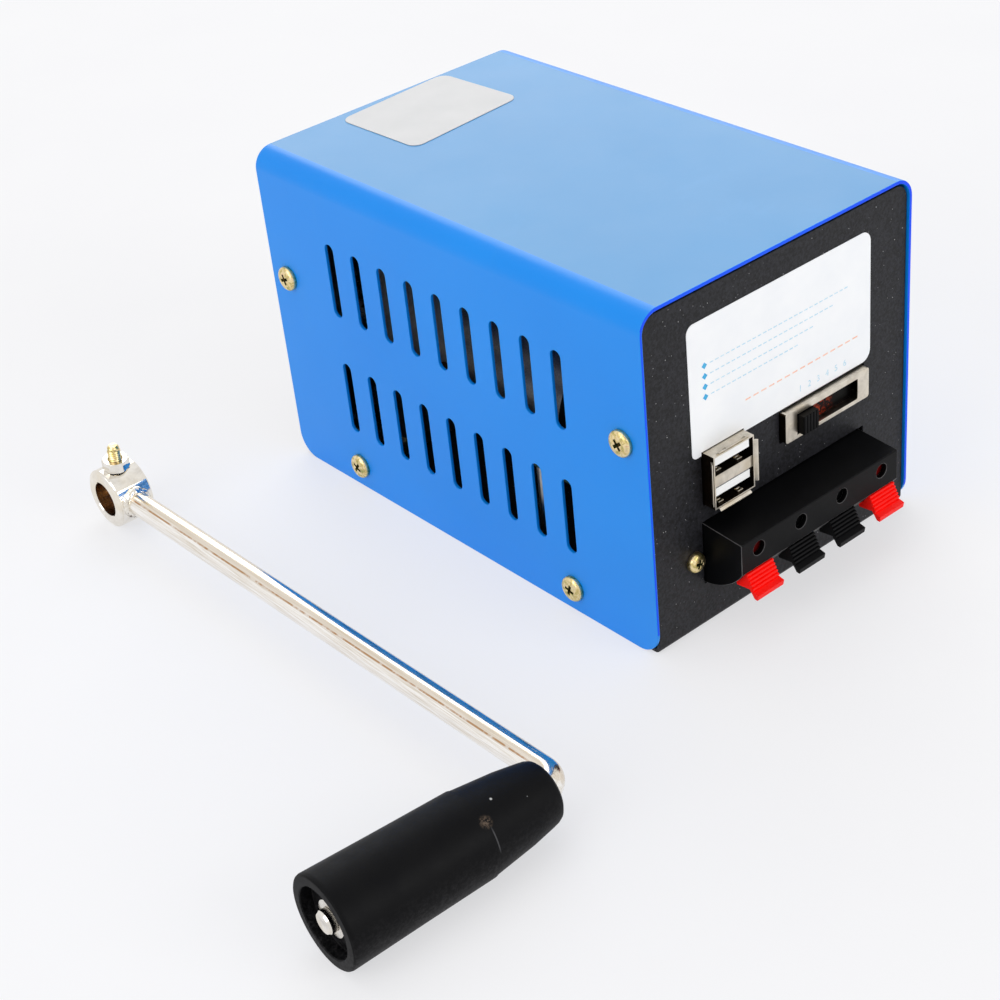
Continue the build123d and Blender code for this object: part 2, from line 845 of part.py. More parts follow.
def gear(teeth, module, width, phase, steps):
    """Spur gear about Y from y = 0, with a tooth centred at the angle phase in degrees."""
    pitch_radius = module * teeth / 2
    base_radius = pitch_radius * cos(radians(pressure_angle))
    root_radius = pitch_radius - tooth_foot * module
    tip_radius = pitch_radius + tooth_top * module
    start_radius = max(base_radius, root_radius)
    half_at_pitch = pi / (2 * teeth) - backlash * module / (2 * pitch_radius)
    flank = [root_radius] if root_radius < start_radius else []
    flank += [start_radius + (tip_radius - start_radius) * step / steps for step in range(steps + 1)]
    points = []
    for tooth in range(teeth):
        middle = radians(phase) + 2 * pi * tooth / teeth
        rise = []
        for radius in flank:
            roll = acos(base_radius / max(radius, start_radius))
            half = half_at_pitch + involute(radians(pressure_angle)) - involute(roll)
            rise.append((radius, half))
        points += [(r * cos(middle - half), r * sin(middle - half)) for r, half in rise]
        points += [(r * cos(middle + half), r * sin(middle + half)) for r, half in reversed(rise)]
    return extrude(Plane.XZ * make_face(Polyline(*points, close=True)), -width)


def gear_places():
    """Where each wheel lies along Y, from the gear plate towards the rear."""
    second_start = gear_front + bush_flange_thickness + end_gap + second_gear_gap
    pinion_start = second_start + second_gear_width + second_pinion_gap
    main_end = gear_rear - bush_flange_thickness - end_gap - main_gear_gap
    return {
        "second": second_start,
        "second_pinion": pinion_start,
        "main": main_end - main_gear_width,
        "motor_pinion": second_start + (second_gear_width - motor_pinion_width) / 2 + motor_pinion_offset,
    }


def crank_shaft():
    """Shaft with a front journal, and a stub behind the box with a dimple for the crank's screw."""
    journal_end = gear_front + bush_flange_thickness + end_gap
    shoulder = panel_face + crank_bush_flange_thickness + end_gap
    stub_end = shoulder + crank_stub_length
    shaft = bar_y(crank_stub_radius, 0, crank_axis_height, journal_end, stub_end)
    shaft = chamfer(shaft.edges().group_by(Axis.Y)[-1], 0.6)
    dimple_height = crank_axis_height + crank_stub_radius - crank_dimple_depth
    shaft -= bar_z(crank_dimple_radius, 0, shoulder + collar_length / 2, dimple_height, cover_height)
    shaft += bar_y(crank_shaft_radius, 0, crank_axis_height, journal_end, shoulder)
    return shaft + bar_y(crank_journal_radius, 0, crank_axis_height, gear_plate_front, journal_end)


def main_gear():
    """Large wheel pressed on the crankshaft, with web holes and a rear hub."""
    place = gear_places()["main"]
    wheel = gear(main_teeth, first_module, main_gear_width, second_axis_angle, 1)
    hub_end = gear_rear - bush_flange_thickness - end_gap - place
    wheel += bar_y(main_hub_radius, 0, 0, main_gear_width, hub_end)
    wheel -= bar_y(crank_shaft_radius + press_gap, 0, 0, -1, hub_end + 1)
    for hole in range(main_web_holes):
        angle = 2 * pi * hole / main_web_holes
        x, z = main_web_hole_circle * cos(angle), main_web_hole_circle * sin(angle)
        wheel -= bar_y(main_web_hole_radius, x, z, -1, main_gear_width + 1)
    return Pos(0, place, crank_axis_height) * wheel


def second_shaft():
    """Second shaft with its pinion cut on it."""
    start = gear_places()["second_pinion"]
    end = gear_rear - bush_flange_thickness - end_gap
    phase = second_axis_angle + 180 + 180 / second_pinion_teeth
    shaft = Pos(second_axis_x, start, second_axis_height) * gear(
        second_pinion_teeth, first_module, end - start, phase, 2
    )
    return shaft + bar_y(
        second_shaft_radius, second_axis_x, second_axis_height, gear_plate_front, panel_back
    )


def second_gear():
    """Large wheel pressed on the second shaft, against its pinion."""
    place = gear_places()["second"]
    wheel = gear(second_teeth, second_module, second_gear_width, motor_axis_angle, 1)
    hub_start = gear_front + bush_flange_thickness + end_gap - place
    hub_end = gear_places()["second_pinion"] - place
    wheel += bar_y(second_hub_radius, 0, 0, hub_start, hub_end)
    wheel -= bar_y(second_shaft_radius + press_gap, 0, 0, hub_start - 1, hub_end + 1)
    return Pos(second_axis_x, place, second_axis_height) * wheel


def motor_pinion():
    """Pinion pressed on the dynamo's shaft."""
    phase = motor_axis_angle + 180 + 180 / motor_pinion_teeth
    pinion = gear(motor_pinion_teeth, second_module, motor_pinion_width, phase, 2)
    pinion -= bar_y(motor_shaft_radius + press_gap, 0, 0, -1, motor_pinion_width + 1)
    return Pos(motor_axis_x, gear_places()["motor_pinion"], motor_axis_height) * pinion


def plate_with_holes(y0, y1, holes):
    """Gearbox plate between two planes, with round holes given as (x, z, radius)."""
    half = gear_plate_width / 2
    plate = block(-half, half, y0, y1, gear_plate_foot, gear_plate_top)
    plate = fillet(plate.edges().filter_by(Axis.Y), pillar_margin)
    for x, z, radius in holes:
        plate -= bar_y(radius, x, z, y0 - 1, y1 + 1)
    return plate


def crank_rear_bush_radius():
    return crank_shaft_radius + running_gap + crank_bush_wall


def crank_front_bush_radius():
    return crank_journal_radius + running_gap + second_bush_wall


def second_bush_radius():
    return second_shaft_radius + running_gap + second_bush_wall


def bearing_plate():
    """Steel plate behind the rear panel that carries the rear bushes."""
    holes = [(x, z, gear_screw_radius + screw_gap) for x, z in gear_pillar_places()]
    holes.append((0, crank_axis_height, crank_rear_bush_radius() + press_gap))
    holes.append((second_axis_x, second_axis_height, second_bush_radius() + press_gap))
    return plate_with_holes(gear_rear, panel_back, holes)


def motor_screw_places():
    """x and height of the dynamo's fixing screws."""
    return [(motor_axis_x + side * motor_screw_circle, motor_axis_height) for side in (-1, 1)]


def gear_plate():
    """Steel plate that carries the front bushes and the dynamo."""
    holes = [(x, z, gear_screw_radius + screw_gap) for x, z in gear_pillar_places()]
    holes += [(x, z, motor_screw_radius + screw_gap) for x, z in motor_screw_places()]
    holes.append((0, crank_axis_height, crank_front_bush_radius() + press_gap))
    holes.append((second_axis_x, second_axis_height, second_bush_radius() + press_gap))
    holes.append((motor_axis_x, motor_axis_height, can_boss_radius + press_gap))
    return plate_with_holes(gear_plate_front, gear_front, holes)


def gear_pillars():
    """Four round pillars, tapped at both ends, between the two plates."""
    pillars = []
    for x, z in gear_pillar_places():
        pillar = bar_y(pillar_radius, x, z, gear_front, gear_rear)
        reach = gear_screw_length
        pillar -= bar_y(gear_screw_radius + screw_gap, x, z, gear_front - 1, gear_front + reach)
        pillar -= bar_y(gear_screw_radius + screw_gap, x, z, gear_rear - reach, gear_rear + 1)
        pillars.append(pillar)
    return group(pillars)


def gear_screws():
    """Screws into both ends of the pillars: four from behind the box, four from the plate's front."""
    screw = pan_screw(gear_screw_head_radius, gear_screw_head_height, gear_screw_radius, gear_screw_length)
    rear = [Pos(x, panel_face, z) * Rot(-90, 0, 0) * screw for x, z in gear_pillar_places()]
    front = [Pos(x, gear_plate_front, z) * Rot(90, 0, 0) * screw for x, z in gear_pillar_places()]
    return group(rear + front)


def crank_bushes():
    """Flanged bronze bushes: the rear one outside the rear panel, the front one in the gear plate."""
    radius = crank_rear_bush_radius()
    bore = crank_shaft_radius + running_gap
    inner_end = gear_rear - bush_flange_thickness
    rear = tube_y(radius, bore, 0, crank_axis_height, inner_end, panel_face)
    rear += tube_y(
        radius + crank_bush_flange, bore, 0, crank_axis_height,
        panel_face, panel_face + crank_bush_flange_thickness,
    )
    front_radius = crank_front_bush_radius()
    front_bore = crank_journal_radius + running_gap
    front = tube_y(front_radius, front_bore, 0, crank_axis_height, gear_plate_front, gear_front)
    front += tube_y(
        front_radius + bush_flange, front_bore, 0, crank_axis_height,
        gear_front, gear_front + bush_flange_thickness,
    )
    return group([rear, front])


def second_bushes():
    """Flanged bronze bushes of the second shaft."""
    radius = second_bush_radius()
    bore = second_shaft_radius + running_gap
    x, z = second_axis_x, second_axis_height
    rear = tube_y(radius, bore, x, z, gear_rear, panel_back)
    rear += tube_y(radius + bush_flange, bore, x, z, gear_rear - bush_flange_thickness, gear_rear)
    front = tube_y(radius, bore, x, z, gear_plate_front, gear_front)
    front += tube_y(radius + bush_flange, bore, x, z, gear_front, gear_front + bush_flange_thickness)
    return group([rear, front])


def motor_can():
    """Drawn steel can of the dynamo, open at the front of the box, with a boss through the plate."""
    x, z = motor_axis_x, motor_axis_height
    rear = gear_plate_front
    can = bar_y(can_radius, x, z, rear - can_length, rear)
    can -= bar_y(can_radius - can_sheet, x, z, rear - can_length - 1, rear - can_sheet)
    can += bar_y(can_boss_radius, x, z, rear, gear_front)
    can -= bar_y(motor_shaft_radius + running_gap, x, z, rear - can_length, gear_front + 1)
    for screw_x, screw_z in motor_screw_places():
        can -= bar_y(motor_screw_radius + screw_gap, screw_x, screw_z, rear - can_sheet - 1, rear + 1)
    return can


def motor_screws():
    """Two screws through the gear plate into the dynamo's face."""
    screw = pan_screw(gear_screw_head_radius, gear_screw_head_height, motor_screw_radius, motor_screw_length)
    return group(Pos(x, gear_front, z) * Rot(-90, 0, 0) * screw for x, z in motor_screw_places())


def armature_radius():
    return can_radius - can_sheet - press_gap - magnet_thickness - air_gap


def magnet_start():
    return gear_plate_front - can_sheet - magnet_setback - magnet_length


def motor_magnets():
    """Two arc magnets inside the can."""
    x, z = motor_axis_x, motor_axis_height
    outer = can_radius - can_sheet - press_gap
    ring = Circle(outer) - Circle(outer - magnet_thickness)
    magnets = []
    for turn in (0, 180):
        reach = 2 * can_radius
        half = radians(magnet_angle / 2)
        middle = radians(turn)
        wedge = make_face(Polyline(
            (0, 0), (reach * cos(middle - half), reach * sin(middle - half)),
            (reach * cos(middle), reach * sin(middle)),
            (reach * cos(middle + half), reach * sin(middle + half)), close=True,
        ))
        magnets.append(Pos(x, magnet_start(), z) * extrude(Plane.XZ * (ring & wedge), -magnet_length))
    return group(magnets)


def motor_cap():
    """Moulded end cap with the brush box and rear bearing."""
    x, z = motor_axis_x, motor_axis_height
    mouth = gear_plate_front - can_length
    cap = bar_y(can_radius, x, z, mouth - cap_length, mouth)
    cap += bar_y(can_radius - can_sheet - press_gap, x, z, mouth, mouth + cap_wall)
    cap -= bar_y(can_radius - can_sheet - cap_wall, x, z, mouth - cap_length + cap_wall, mouth + cap_wall + 1)
    cap += bar_y(can_boss_radius, x, z, mouth - cap_length - cap_wall, mouth - cap_length)
    cap -= bar_y(motor_shaft_radius + running_gap, x, z, mouth - cap_length - cap_wall - 1, mouth)
    return cap


def rotor_shaft():
    """Dynamo shaft from the end cap to its pinion."""
    start = gear_plate_front - can_length - cap_length - cap_wall
    end = gear_places()["motor_pinion"] + motor_pinion_width + 0.5
    return bar_y(motor_shaft_radius, motor_axis_x, motor_axis_height, start, end)


def armature():
    """Slotted laminated core."""
    core = Circle(armature_radius()) - Circle(motor_shaft_radius + press_gap)
    for slot in range(armature_slots):
        core -= Rot(0, 0, 360 / armature_slots * slot) * Pos(armature_radius(), 0) * Rectangle(
            2 * armature_slot_depth, armature_slot_width
        )
    middle = magnet_start() + (magnet_length - armature_length) / 2
    return Pos(motor_axis_x, middle, motor_axis_height) * extrude(Plane.XZ * core, -armature_length)


def windings():
    """End turns of the copper winding on both faces of the core."""
    start = magnet_start() + (magnet_length - armature_length) / 2
    bore = motor_shaft_radius + press_gap
    x, z = motor_axis_x, motor_axis_height
    return group([
        tube_y(winding_radius, bore, x, z, start - winding_length, start),
        tube_y(winding_radius, bore, x, z, start + armature_length, start + armature_length + winding_length),
    ])


def commutator():
    """Copper ring that the brushes bear on."""
    end = magnet_start() + (magnet_length - armature_length) / 2 - winding_length
    bore = motor_shaft_radius + press_gap
    return tube_y(
        commutator_radius, bore, motor_axis_x, motor_axis_height, end - commutator_length, end
    )


def brushes():
    """Two carbon brushes, each from the commutator to the cap's wall."""
    end = magnet_start() + (magnet_length - armature_length) / 2 - winding_length
    middle = end - commutator_length / 2
    outer = can_radius - can_sheet - cap_wall
    pieces = []
    for side in (-1, 1):
        reach = sorted((
            motor_axis_x + side * (commutator_radius + running_gap),
            motor_axis_x + side * (commutator_radius + brush_length),
        ))
        pieces.append(block(
            *reach, middle - brush_width / 2, middle + brush_width / 2,
            motor_axis_height - brush_width / 2, motor_axis_height + brush_width / 2,
        ))
        spring = sorted((
            motor_axis_x + side * (commutator_radius + brush_length), motor_axis_x + side * outer
        ))
        pieces.append(block(
            *spring, middle - brush_width / 4, middle + brush_width / 4,
            motor_axis_height - brush_width / 4, motor_axis_height + brush_width / 4,
        ))
    return group(pieces)


def circuit_board():
    """Board that carries the USB socket and the output regulator."""
    half = board_width / 2
    board = block(-half, half, board_front, board_rear, board_under, board_top)
    for x, y in board_pillar_places():
        board -= bar_z(board_screw_radius + screw_gap, x, y, board_under - 1, board_top + 1)
    return board


def board_pillars():
    """Four pillars with spigots pressed into the floor."""
    pillars = []
    for x, y in board_pillar_places():
        pillar = bar_z(board_pillar_radius, x, y, chassis_sheet, board_under)
        pillar += bar_z(board_pillar_radius / 2, x, y, 0, chassis_sheet)
        pillar -= bar_z(board_screw_radius + screw_gap, x, y, board_under - board_screw_length, board_under + 1)
        pillars.append(pillar)
    return group(pillars)


def board_screws():
    """Four screws that hold the board down."""
    screw = pan_screw(board_screw_head_radius, board_screw_head_height, board_screw_radius, board_screw_length)
    return group(Pos(x, y, board_top) * screw for x, y in board_pillar_places())


def capacitors():
    """Two upright smoothing capacitors."""
    x = board_width / 2 - board_pillar_inset - capacitor_radius
    y = (board_front + board_rear) / 2
    return group(
        bar_z(capacitor_radius, x, y + side * (capacitor_radius + 0.5), board_top, board_top + capacitor_height)
        for side in (-1, 1)
    )


def choke():
    """Ring core standing on the board."""
    y = board_rear - board_pillar_inset - choke_radius
    x = -sink_width / 2 - choke_gap - choke_radius
    return tube_y(choke_radius, choke_bore, x, board_top + choke_radius, y - choke_width / 2, y + choke_width / 2)


def heat_sink():
    """Finned aluminium heat sink."""
    y = board_rear - board_pillar_inset
    sink = block(-sink_width / 2, sink_width / 2, y - sink_back, y, board_top, board_top + sink_height)
    pitch = (sink_width - sink_fin) / (sink_fins - 1)
    for fin in range(sink_fins):
        x = -sink_width / 2 + fin * pitch
        sink += block(x, x + sink_fin, y - sink_back - sink_fin_length, y, board_top, board_top + sink_height)
    return sink


def regulator():
    """Power regulator against the back of the heat sink."""
    y = board_rear - board_pillar_inset
    return block(
        -regulator_width / 2, regulator_width / 2, y, y + regulator_thickness,
        board_top, board_top + regulator_height,
    )


def crank_tilt():
    """Slope of the arm, from the collar that lies on the floor up to the fatter grip's end."""
    run = arm_length - spindle_length * sin(radians(spindle_overbend))
    return degrees(asin((grip_radius - collar_radius) / run))


def place_crank(piece):
    """Lay a piece of the crank, modelled about its collar's centre, on the floor."""
    return Pos(crank_x, crank_y, collar_radius) * Rot(-crank_tilt(), 0, 0) * piece


def place_on_spindle(piece):
    """Lay a piece modelled along Z from the arm's end on the crank's spindle."""
    return place_crank(
        Pos(0, -arm_length, 0) * Rot(0, 0, -spindle_overbend) * Rot(0, -90, 0) * piece
    )


def crank_collar():
    """Turned collar that slips on the crankshaft's stub, tapped for the clamp screw."""
    half = collar_length / 2
    collar = bar_x(collar_radius, 0, 0, -half, half)
    collar = chamfer(collar.edges(), collar_chamfer)
    collar -= bar_x(crank_stub_radius + collar_fit_gap, 0, 0, -half - 1, half + 1)
    screw_hole = bar_z(clamp_screw_radius + screw_gap, 0, 0, 0, collar_radius + 1)
    return place_crank(collar - Rot(clamp_screw_lean, 0, 0) * screw_hole)


def crank_arm():
    """Round rod, welded to the collar, bent over and turned down to a spindle for the grip."""
    turn = radians(spindle_overbend)
    elbow = Vector(0, -arm_length, 0)
    start = Vector(0, -collar_radius + 1.0, 0)
    shoulder = elbow + Vector(-cos(turn), sin(turn), 0) * spindle_start
    path = FilletPolyline(start, elbow, shoulder, radius=arm_bend_radius)
    rod = sweep(Plane(start, x_dir=(1, 0, 0), z_dir=(0, -1, 0)) * Circle(arm_radius), path=path)
    bead = Pos(0, -collar_radius - weld_bead / 2 + 0.4, 0) * Rot(90, 0, 0) * Cylinder(
        arm_radius + weld_bead, weld_bead
    )
    bead = fillet(bead.edges().group_by(Axis.Y)[0], 0.9 * weld_bead)
    rod += bead
    rod -= bar_x(collar_radius, 0, 0, -collar_length, collar_length)
    spindle = Cylinder(
        spindle_radius, spindle_length - spindle_start, align=(Align.CENTER, Align.CENTER, Align.MIN)
    )
    spindle = Pos(0, 0, spindle_start) * chamfer(spindle.edges().group_by(Axis.Z)[-1], 0.5)
    groove = Pos(0, 0, washer_place() - 0.05) * (
        Cylinder(spindle_radius + 1, washer_thickness + 0.1, align=(Align.CENTER, Align.CENTER, Align.MIN))
        - Cylinder(spindle_radius - spindle_groove, washer_thickness + 0.1,
                   align=(Align.CENTER, Align.CENTER, Align.MIN))
    )
    return place_crank(rod) + place_on_spindle(spindle - groove)


def grip_start():
    """Distance of the grip's inner end from the arm's axis."""
    return spindle_length - grip_length


def washer_place():
    """Distance of the retaining ring from the arm's axis."""
    return spindle_length - grip_recess_depth + end_gap


def grip_washer():
    """Ring snapped into the spindle's groove, which keeps the grip on."""
    ring = Cylinder(washer_radius, washer_thickness, align=(Align.CENTER, Align.CENTER, Align.MIN))
    ring -= Cylinder(spindle_radius - spindle_groove + press_gap, 4 * washer_thickness)
    return place_on_spindle(Pos(0, 0, washer_place()) * ring)


def grip():
    """Moulded grip that turns on the spindle: tapered, stepped at its parting line, and recessed."""
    start = grip_start()
    end = start + grip_length
    step = end - grip_taper_start
    bore = spindle_radius + running_gap
    mouth = start + grip_mouth_depth
    outline = Polyline(
        (bore, mouth), (grip_mouth_radius, mouth), (grip_mouth_radius, start),
        (grip_neck_radius, start), (grip_waist_radius - grip_step, step),
        (grip_waist_radius, step), (grip_radius, end - grip_edge_round), (grip_radius, end),
        (grip_recess_radius, end), (grip_recess_radius, end - grip_recess_depth),
        (bore, end - grip_recess_depth), close=True,
    )
    section = make_face(outline)
    corners = section.vertices()
    neck = corners.filter_by(lambda v: abs(v.X - grip_neck_radius) < 0.01 and abs(v.Y - start) < 0.01)
    rim = corners.filter_by(lambda v: abs(v.X - grip_radius) < 0.01 and abs(v.Y - end) < 0.01)
    section = fillet(neck, grip_end_round)
    section = fillet(section.vertices().sort_by_distance(rim[0])[0], 0.9 * grip_edge_round)
    return place_on_spindle(revolve(Plane.XZ * section, Axis.Z))


def clamp_screw():
    """Clamp screw through the collar, standing up from it."""
    start = crank_stub_radius + collar_fit_gap + 0.2
    return place_crank(Rot(clamp_screw_lean, 0, 0) * bar_z(clamp_screw_radius, 0, 0, start, clamp_screw_top))


def clamp_nut():
    """Hexagon lock nut on the clamp screw, down on the collar."""
    nut = Pos(0, 0, collar_radius) * extrude(RegularPolygon(clamp_nut_width / sqrt(3), 6), clamp_nut_height)
    nut -= bar_z(clamp_screw_radius + press_gap, 0, 0, collar_radius - 1, collar_radius + clamp_nut_height + 1)
    return place_crank(Rot(clamp_screw_lean, 0, 0) * nut)


nodes = {
    "cover": cover(),
    "cover_screws": cover_screws(),
    "chassis": chassis(),
    "panel_label": panel_label(),
    "top_sticker": top_sticker(),
    "panel_screws": panel_screws(),
    "usb_shell": usb_shell(),
    "usb_core": usb_core(),
    "usb_contacts": usb_contacts(),
    "switch_frame": switch_frame(),
    "switch_base": switch_base(),
    "switch_pins": switch_rear_pins(),
    "switch_knob": switch_knob(),
    "terminal_block": terminal_block(),
    "terminal_contacts": terminal_contacts(),
    "lever_pin": lever_pin(),
    "crank_shaft": crank_shaft(),
    "main_gear": main_gear(),
    "crank_bushes": crank_bushes(),
    "second_shaft": second_shaft(),
    "second_gear": second_gear(),
    "second_bushes": second_bushes(),
    "bearing_plate": bearing_plate(),
    "gear_plate": gear_plate(),
    "gear_pillars": gear_pillars(),
    "gear_screws": gear_screws(),
    "motor_can": motor_can(),
    "motor_screws": motor_screws(),
    "motor_magnets": motor_magnets(),
    "motor_cap": motor_cap(),
    "motor_brushes": brushes(),
    "rotor_shaft": rotor_shaft(),
    "motor_pinion": motor_pinion(),
    "armature": armature(),
    "windings": windings(),
    "commutator": commutator(),
    "circuit_board": circuit_board(),
    "board_pillars": board_pillars(),
    "board_screws": board_screws(),
    "capacitors": capacitors(),
    "choke": choke(),
    "heat_sink": heat_sink(),
    "regulator": regulator(),
    "crank_collar": crank_collar(),
    "crank_arm": crank_arm(),
    "clamp_screw": clamp_screw(),
    "clamp_nut": clamp_nut(),
    "grip_washer": grip_washer(),
    "grip": grip(),
}
for number, x in enumerate(lever_places(), start=1):
    nodes[f"lever_{number}"] = lever(x)
    nodes[f"lever_spring_{number}"] = lever_spring(x)

os.makedirs("parts", exist_ok=True)
for name, shape in nodes.items():
    export_step(shape, f"parts/{name}.step")
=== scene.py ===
from math import asin, degrees, radians, sin, sqrt

import bpy
from mathutils import Matrix, Vector


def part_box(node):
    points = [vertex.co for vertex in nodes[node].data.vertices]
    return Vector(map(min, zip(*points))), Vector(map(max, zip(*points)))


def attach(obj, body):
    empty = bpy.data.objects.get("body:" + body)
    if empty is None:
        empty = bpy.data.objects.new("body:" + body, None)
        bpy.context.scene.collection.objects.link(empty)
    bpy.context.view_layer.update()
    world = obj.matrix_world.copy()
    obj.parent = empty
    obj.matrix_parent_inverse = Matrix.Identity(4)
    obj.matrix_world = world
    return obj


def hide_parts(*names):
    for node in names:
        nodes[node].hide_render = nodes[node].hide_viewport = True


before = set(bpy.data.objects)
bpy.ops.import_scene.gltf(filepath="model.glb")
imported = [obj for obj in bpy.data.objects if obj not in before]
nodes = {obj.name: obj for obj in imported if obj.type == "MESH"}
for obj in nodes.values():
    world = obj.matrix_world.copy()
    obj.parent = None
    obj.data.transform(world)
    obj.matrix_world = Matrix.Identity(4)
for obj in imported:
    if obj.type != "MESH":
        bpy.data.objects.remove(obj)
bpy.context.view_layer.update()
MM = 0.001
SAME_POINT = 0.000002  # metres: points closer than this become one

# Sizes that the box and the crank are set out from, in millimetres and degrees. The panel faces -Y.
half_width = 49.25
half_length = 77.75
box_height = 100.0
panel_face = 77.05
crank_place = Vector((-107.5, 88.0, 9.1))  # middle of the collar
arm_length = 192.6  # from the collar's axis to the spindle's
arm_radius = 3.55
elbow_radius = 5.4
spindle_length = 66.3  # from the arm's axis to the spindle's end
spindle_radius = 3.0
spindle_bend = 3.0  # lean of the spindle back towards the collar
grip_radius = 12.0
grip_length = 62.1
collar_radius = 9.1
collar_length = 11.4
screw_lean = 6.0  # lean of the clamp screw towards the arm


# ---------------------------------------------------------------- workshop helpers
def clear_selection():
    """Back to object mode with nothing selected."""
    if bpy.context.object and bpy.context.object.mode != "OBJECT":
        bpy.ops.object.mode_set(mode="OBJECT")
    bpy.ops.object.select_all(action="DESELECT")


def pick(piece):
    """Make the piece the only one selected."""
    clear_selection()
    piece.select_set(True)
    bpy.context.view_layer.objects.active = piece


def settle(piece):
    """Put the piece's place into its mesh."""
    pick(piece)
    bpy.ops.object.transform_apply(location=True, rotation=True, scale=True)


def carry(piece, *moves):
    """Move a piece made about the origin to its place, and settle it there."""
    place = Matrix.Identity(4)
    for move in moves:
        place = place @ move
    piece.matrix_world = place
    settle(piece)


def shift(x, y, z):
    """Move in millimetres."""
    return Matrix.Translation((x * MM, y * MM, z * MM))


def turn(angle, axis):
    """Turn in degrees."""
    return Matrix.Rotation(radians(angle), 4, axis)


def edit(piece):
    """Edit mode with nothing selected."""
    pick(piece)
    bpy.ops.object.mode_set(mode="EDIT")
    bpy.ops.mesh.select_all(action="DESELECT")


def choose(piece, kind, test):
    """Select, in edit mode, the faces or points that pass the test, given place and facing."""
    bpy.ops.object.mode_set(mode="EDIT")
    bpy.ops.mesh.select_mode(type={"faces": "FACE", "points": "VERT"}[kind])
    bpy.ops.mesh.select_all(action="DESELECT")
    bpy.ops.object.mode_set(mode="OBJECT")
    mesh = piece.data
    if kind == "faces":
        for face in mesh.polygons:
            face.select = test(face.center / MM, face.normal)
    else:
        for point in mesh.vertices:
            point.select = test(point.co / MM, point.normal)
    bpy.ops.object.mode_set(mode="EDIT")


def soften(piece, width, segments, angle, edge_slot=-1):
    """Round the edges sharper than the angle; the slot is the new faces' finish."""
    pick(piece)
    bevel = piece.modifiers.new("soft edge", "BEVEL")
    bevel.width = width * MM
    bevel.segments = segments
    bevel.limit_method = "ANGLE"
    bevel.angle_limit = radians(angle)
    bevel.use_clamp_overlap = False
    bevel.material = edge_slot
    bpy.ops.object.modifier_apply(modifier=bevel.name)


def smooth(piece, angle):
    """Smooth shading up to the angle, with the large faces kept flat."""
    pick(piece)
    bpy.ops.object.shade_smooth_by_angle(angle=radians(angle))
    even = piece.modifiers.new("even", "WEIGHTED_NORMAL")
    even.keep_sharp = True
    even.weight = 100
    bpy.ops.object.modifier_apply(modifier=even.name)


def face_outwards(piece):
    """Join points that lie together, and turn every face outwards."""
    edit(piece)
    bpy.ops.mesh.select_all(action="SELECT")
    bpy.ops.mesh.remove_doubles(threshold=SAME_POINT)
    bpy.ops.mesh.normals_make_consistent(inside=False)
    bpy.ops.object.mode_set(mode="OBJECT")


def combine(piece, tool, way):
    """Add the tool's shape to the piece, cut it away or keep what both hold; the tool goes."""
    pick(piece)
    change = piece.modifiers.new("change", "BOOLEAN")
    change.operation = way
    change.solver = "EXACT"
    change.object = tool
    bpy.ops.object.modifier_apply(modifier=change.name)
    bpy.data.objects.remove(tool)


def cut_away(piece, tool):
    combine(piece, tool, "DIFFERENCE")


def keep_within(piece, node):
    """Press anything that stands outside the node's box back onto it."""
    slack = 0.0005
    for corner, way in zip(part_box(node), (-1, 1)):
        for axis in range(3):
            level = corner[axis] / MM
            if all((point.co[axis] / MM - level) * way < slack for point in piece.data.vertices):
                continue
            pick(piece)
            choose(piece, "points", lambda co, facing: (co[axis] - level) * way > slack)
            flat = [1, 1, 1]
            flat[axis] = 0
            bpy.ops.transform.resize(value=flat, center_override=corner)
            bpy.ops.object.mode_set(mode="OBJECT")


def touch_up(piece, slot, test):
    """Give the faces that pass the test another of the piece's finishes."""
    pick(piece)
    choose(piece, "faces", test)
    piece.active_material_index = slot
    bpy.ops.object.material_slot_assign()
    bpy.ops.object.mode_set(mode="OBJECT")


def another(piece, name):
    """Copy of a piece with a mesh of its own."""
    copy = piece.copy()
    copy.data = piece.data.copy()
    copy.name = name
    bpy.context.scene.collection.objects.link(copy)
    return copy


def turned(name, rings, sides, closed=False):
    """Piece turned about Z: a circle carried from ring to ring, each ring (radius, height).

    A closed outline ends where it starts; any other is filled at both ends.
    """
    clear_selection()
    radius, height = rings[0]
    bpy.ops.mesh.primitive_circle_add(vertices=sides, radius=radius * MM, location=(0, 0, height * MM))
    piece = bpy.context.object
    piece.name = name
    settle(piece)
    edit(piece)
    bpy.ops.mesh.select_mode(type="EDGE")
    bpy.ops.mesh.select_all(action="SELECT")
    for wider, higher in rings[1:]:
        bpy.ops.mesh.extrude_region_move(
            TRANSFORM_OT_translate={"value": (0, 0, (higher - height) * MM)}
        )
        ratio = wider / radius
        bpy.ops.transform.resize(value=(ratio, ratio, 1), center_override=(0, 0, higher * MM))
        radius, height = wider, higher
    bpy.ops.mesh.select_all(action="SELECT")
    if closed:
        bpy.ops.mesh.remove_doubles(threshold=SAME_POINT)
    else:
        bpy.ops.mesh.fill_holes(sides=0)
    bpy.ops.object.mode_set(mode="OBJECT")
    face_outwards(piece)
    return piece


def slab(name, size, place, round_off=0.0, segments=1):
    """Block of the given size about a place, its edges rounded if asked."""
    clear_selection()
    bpy.ops.mesh.primitive_cube_add(size=1, location=[v * MM for v in place])
    piece = bpy.context.object
    piece.name = name
    piece.scale = [v * MM for v in size]
    settle(piece)
    if round_off:
        edit(piece)
        bpy.ops.mesh.select_all(action="SELECT")
        bpy.ops.mesh.bevel(offset=round_off * MM, segments=segments, affect="EDGES")
        bpy.ops.object.mode_set(mode="OBJECT")
    return piece


# ---------------------------------------------------------------- finishes
def linear(colour):
    """8-bit screen colour as the shader's numbers."""
    return tuple(
        (c / 255 / 12.92 if c <= 10 else ((c / 255 + 0.055) / 1.055) ** 2.4) for c in colour
    ) + (1,)


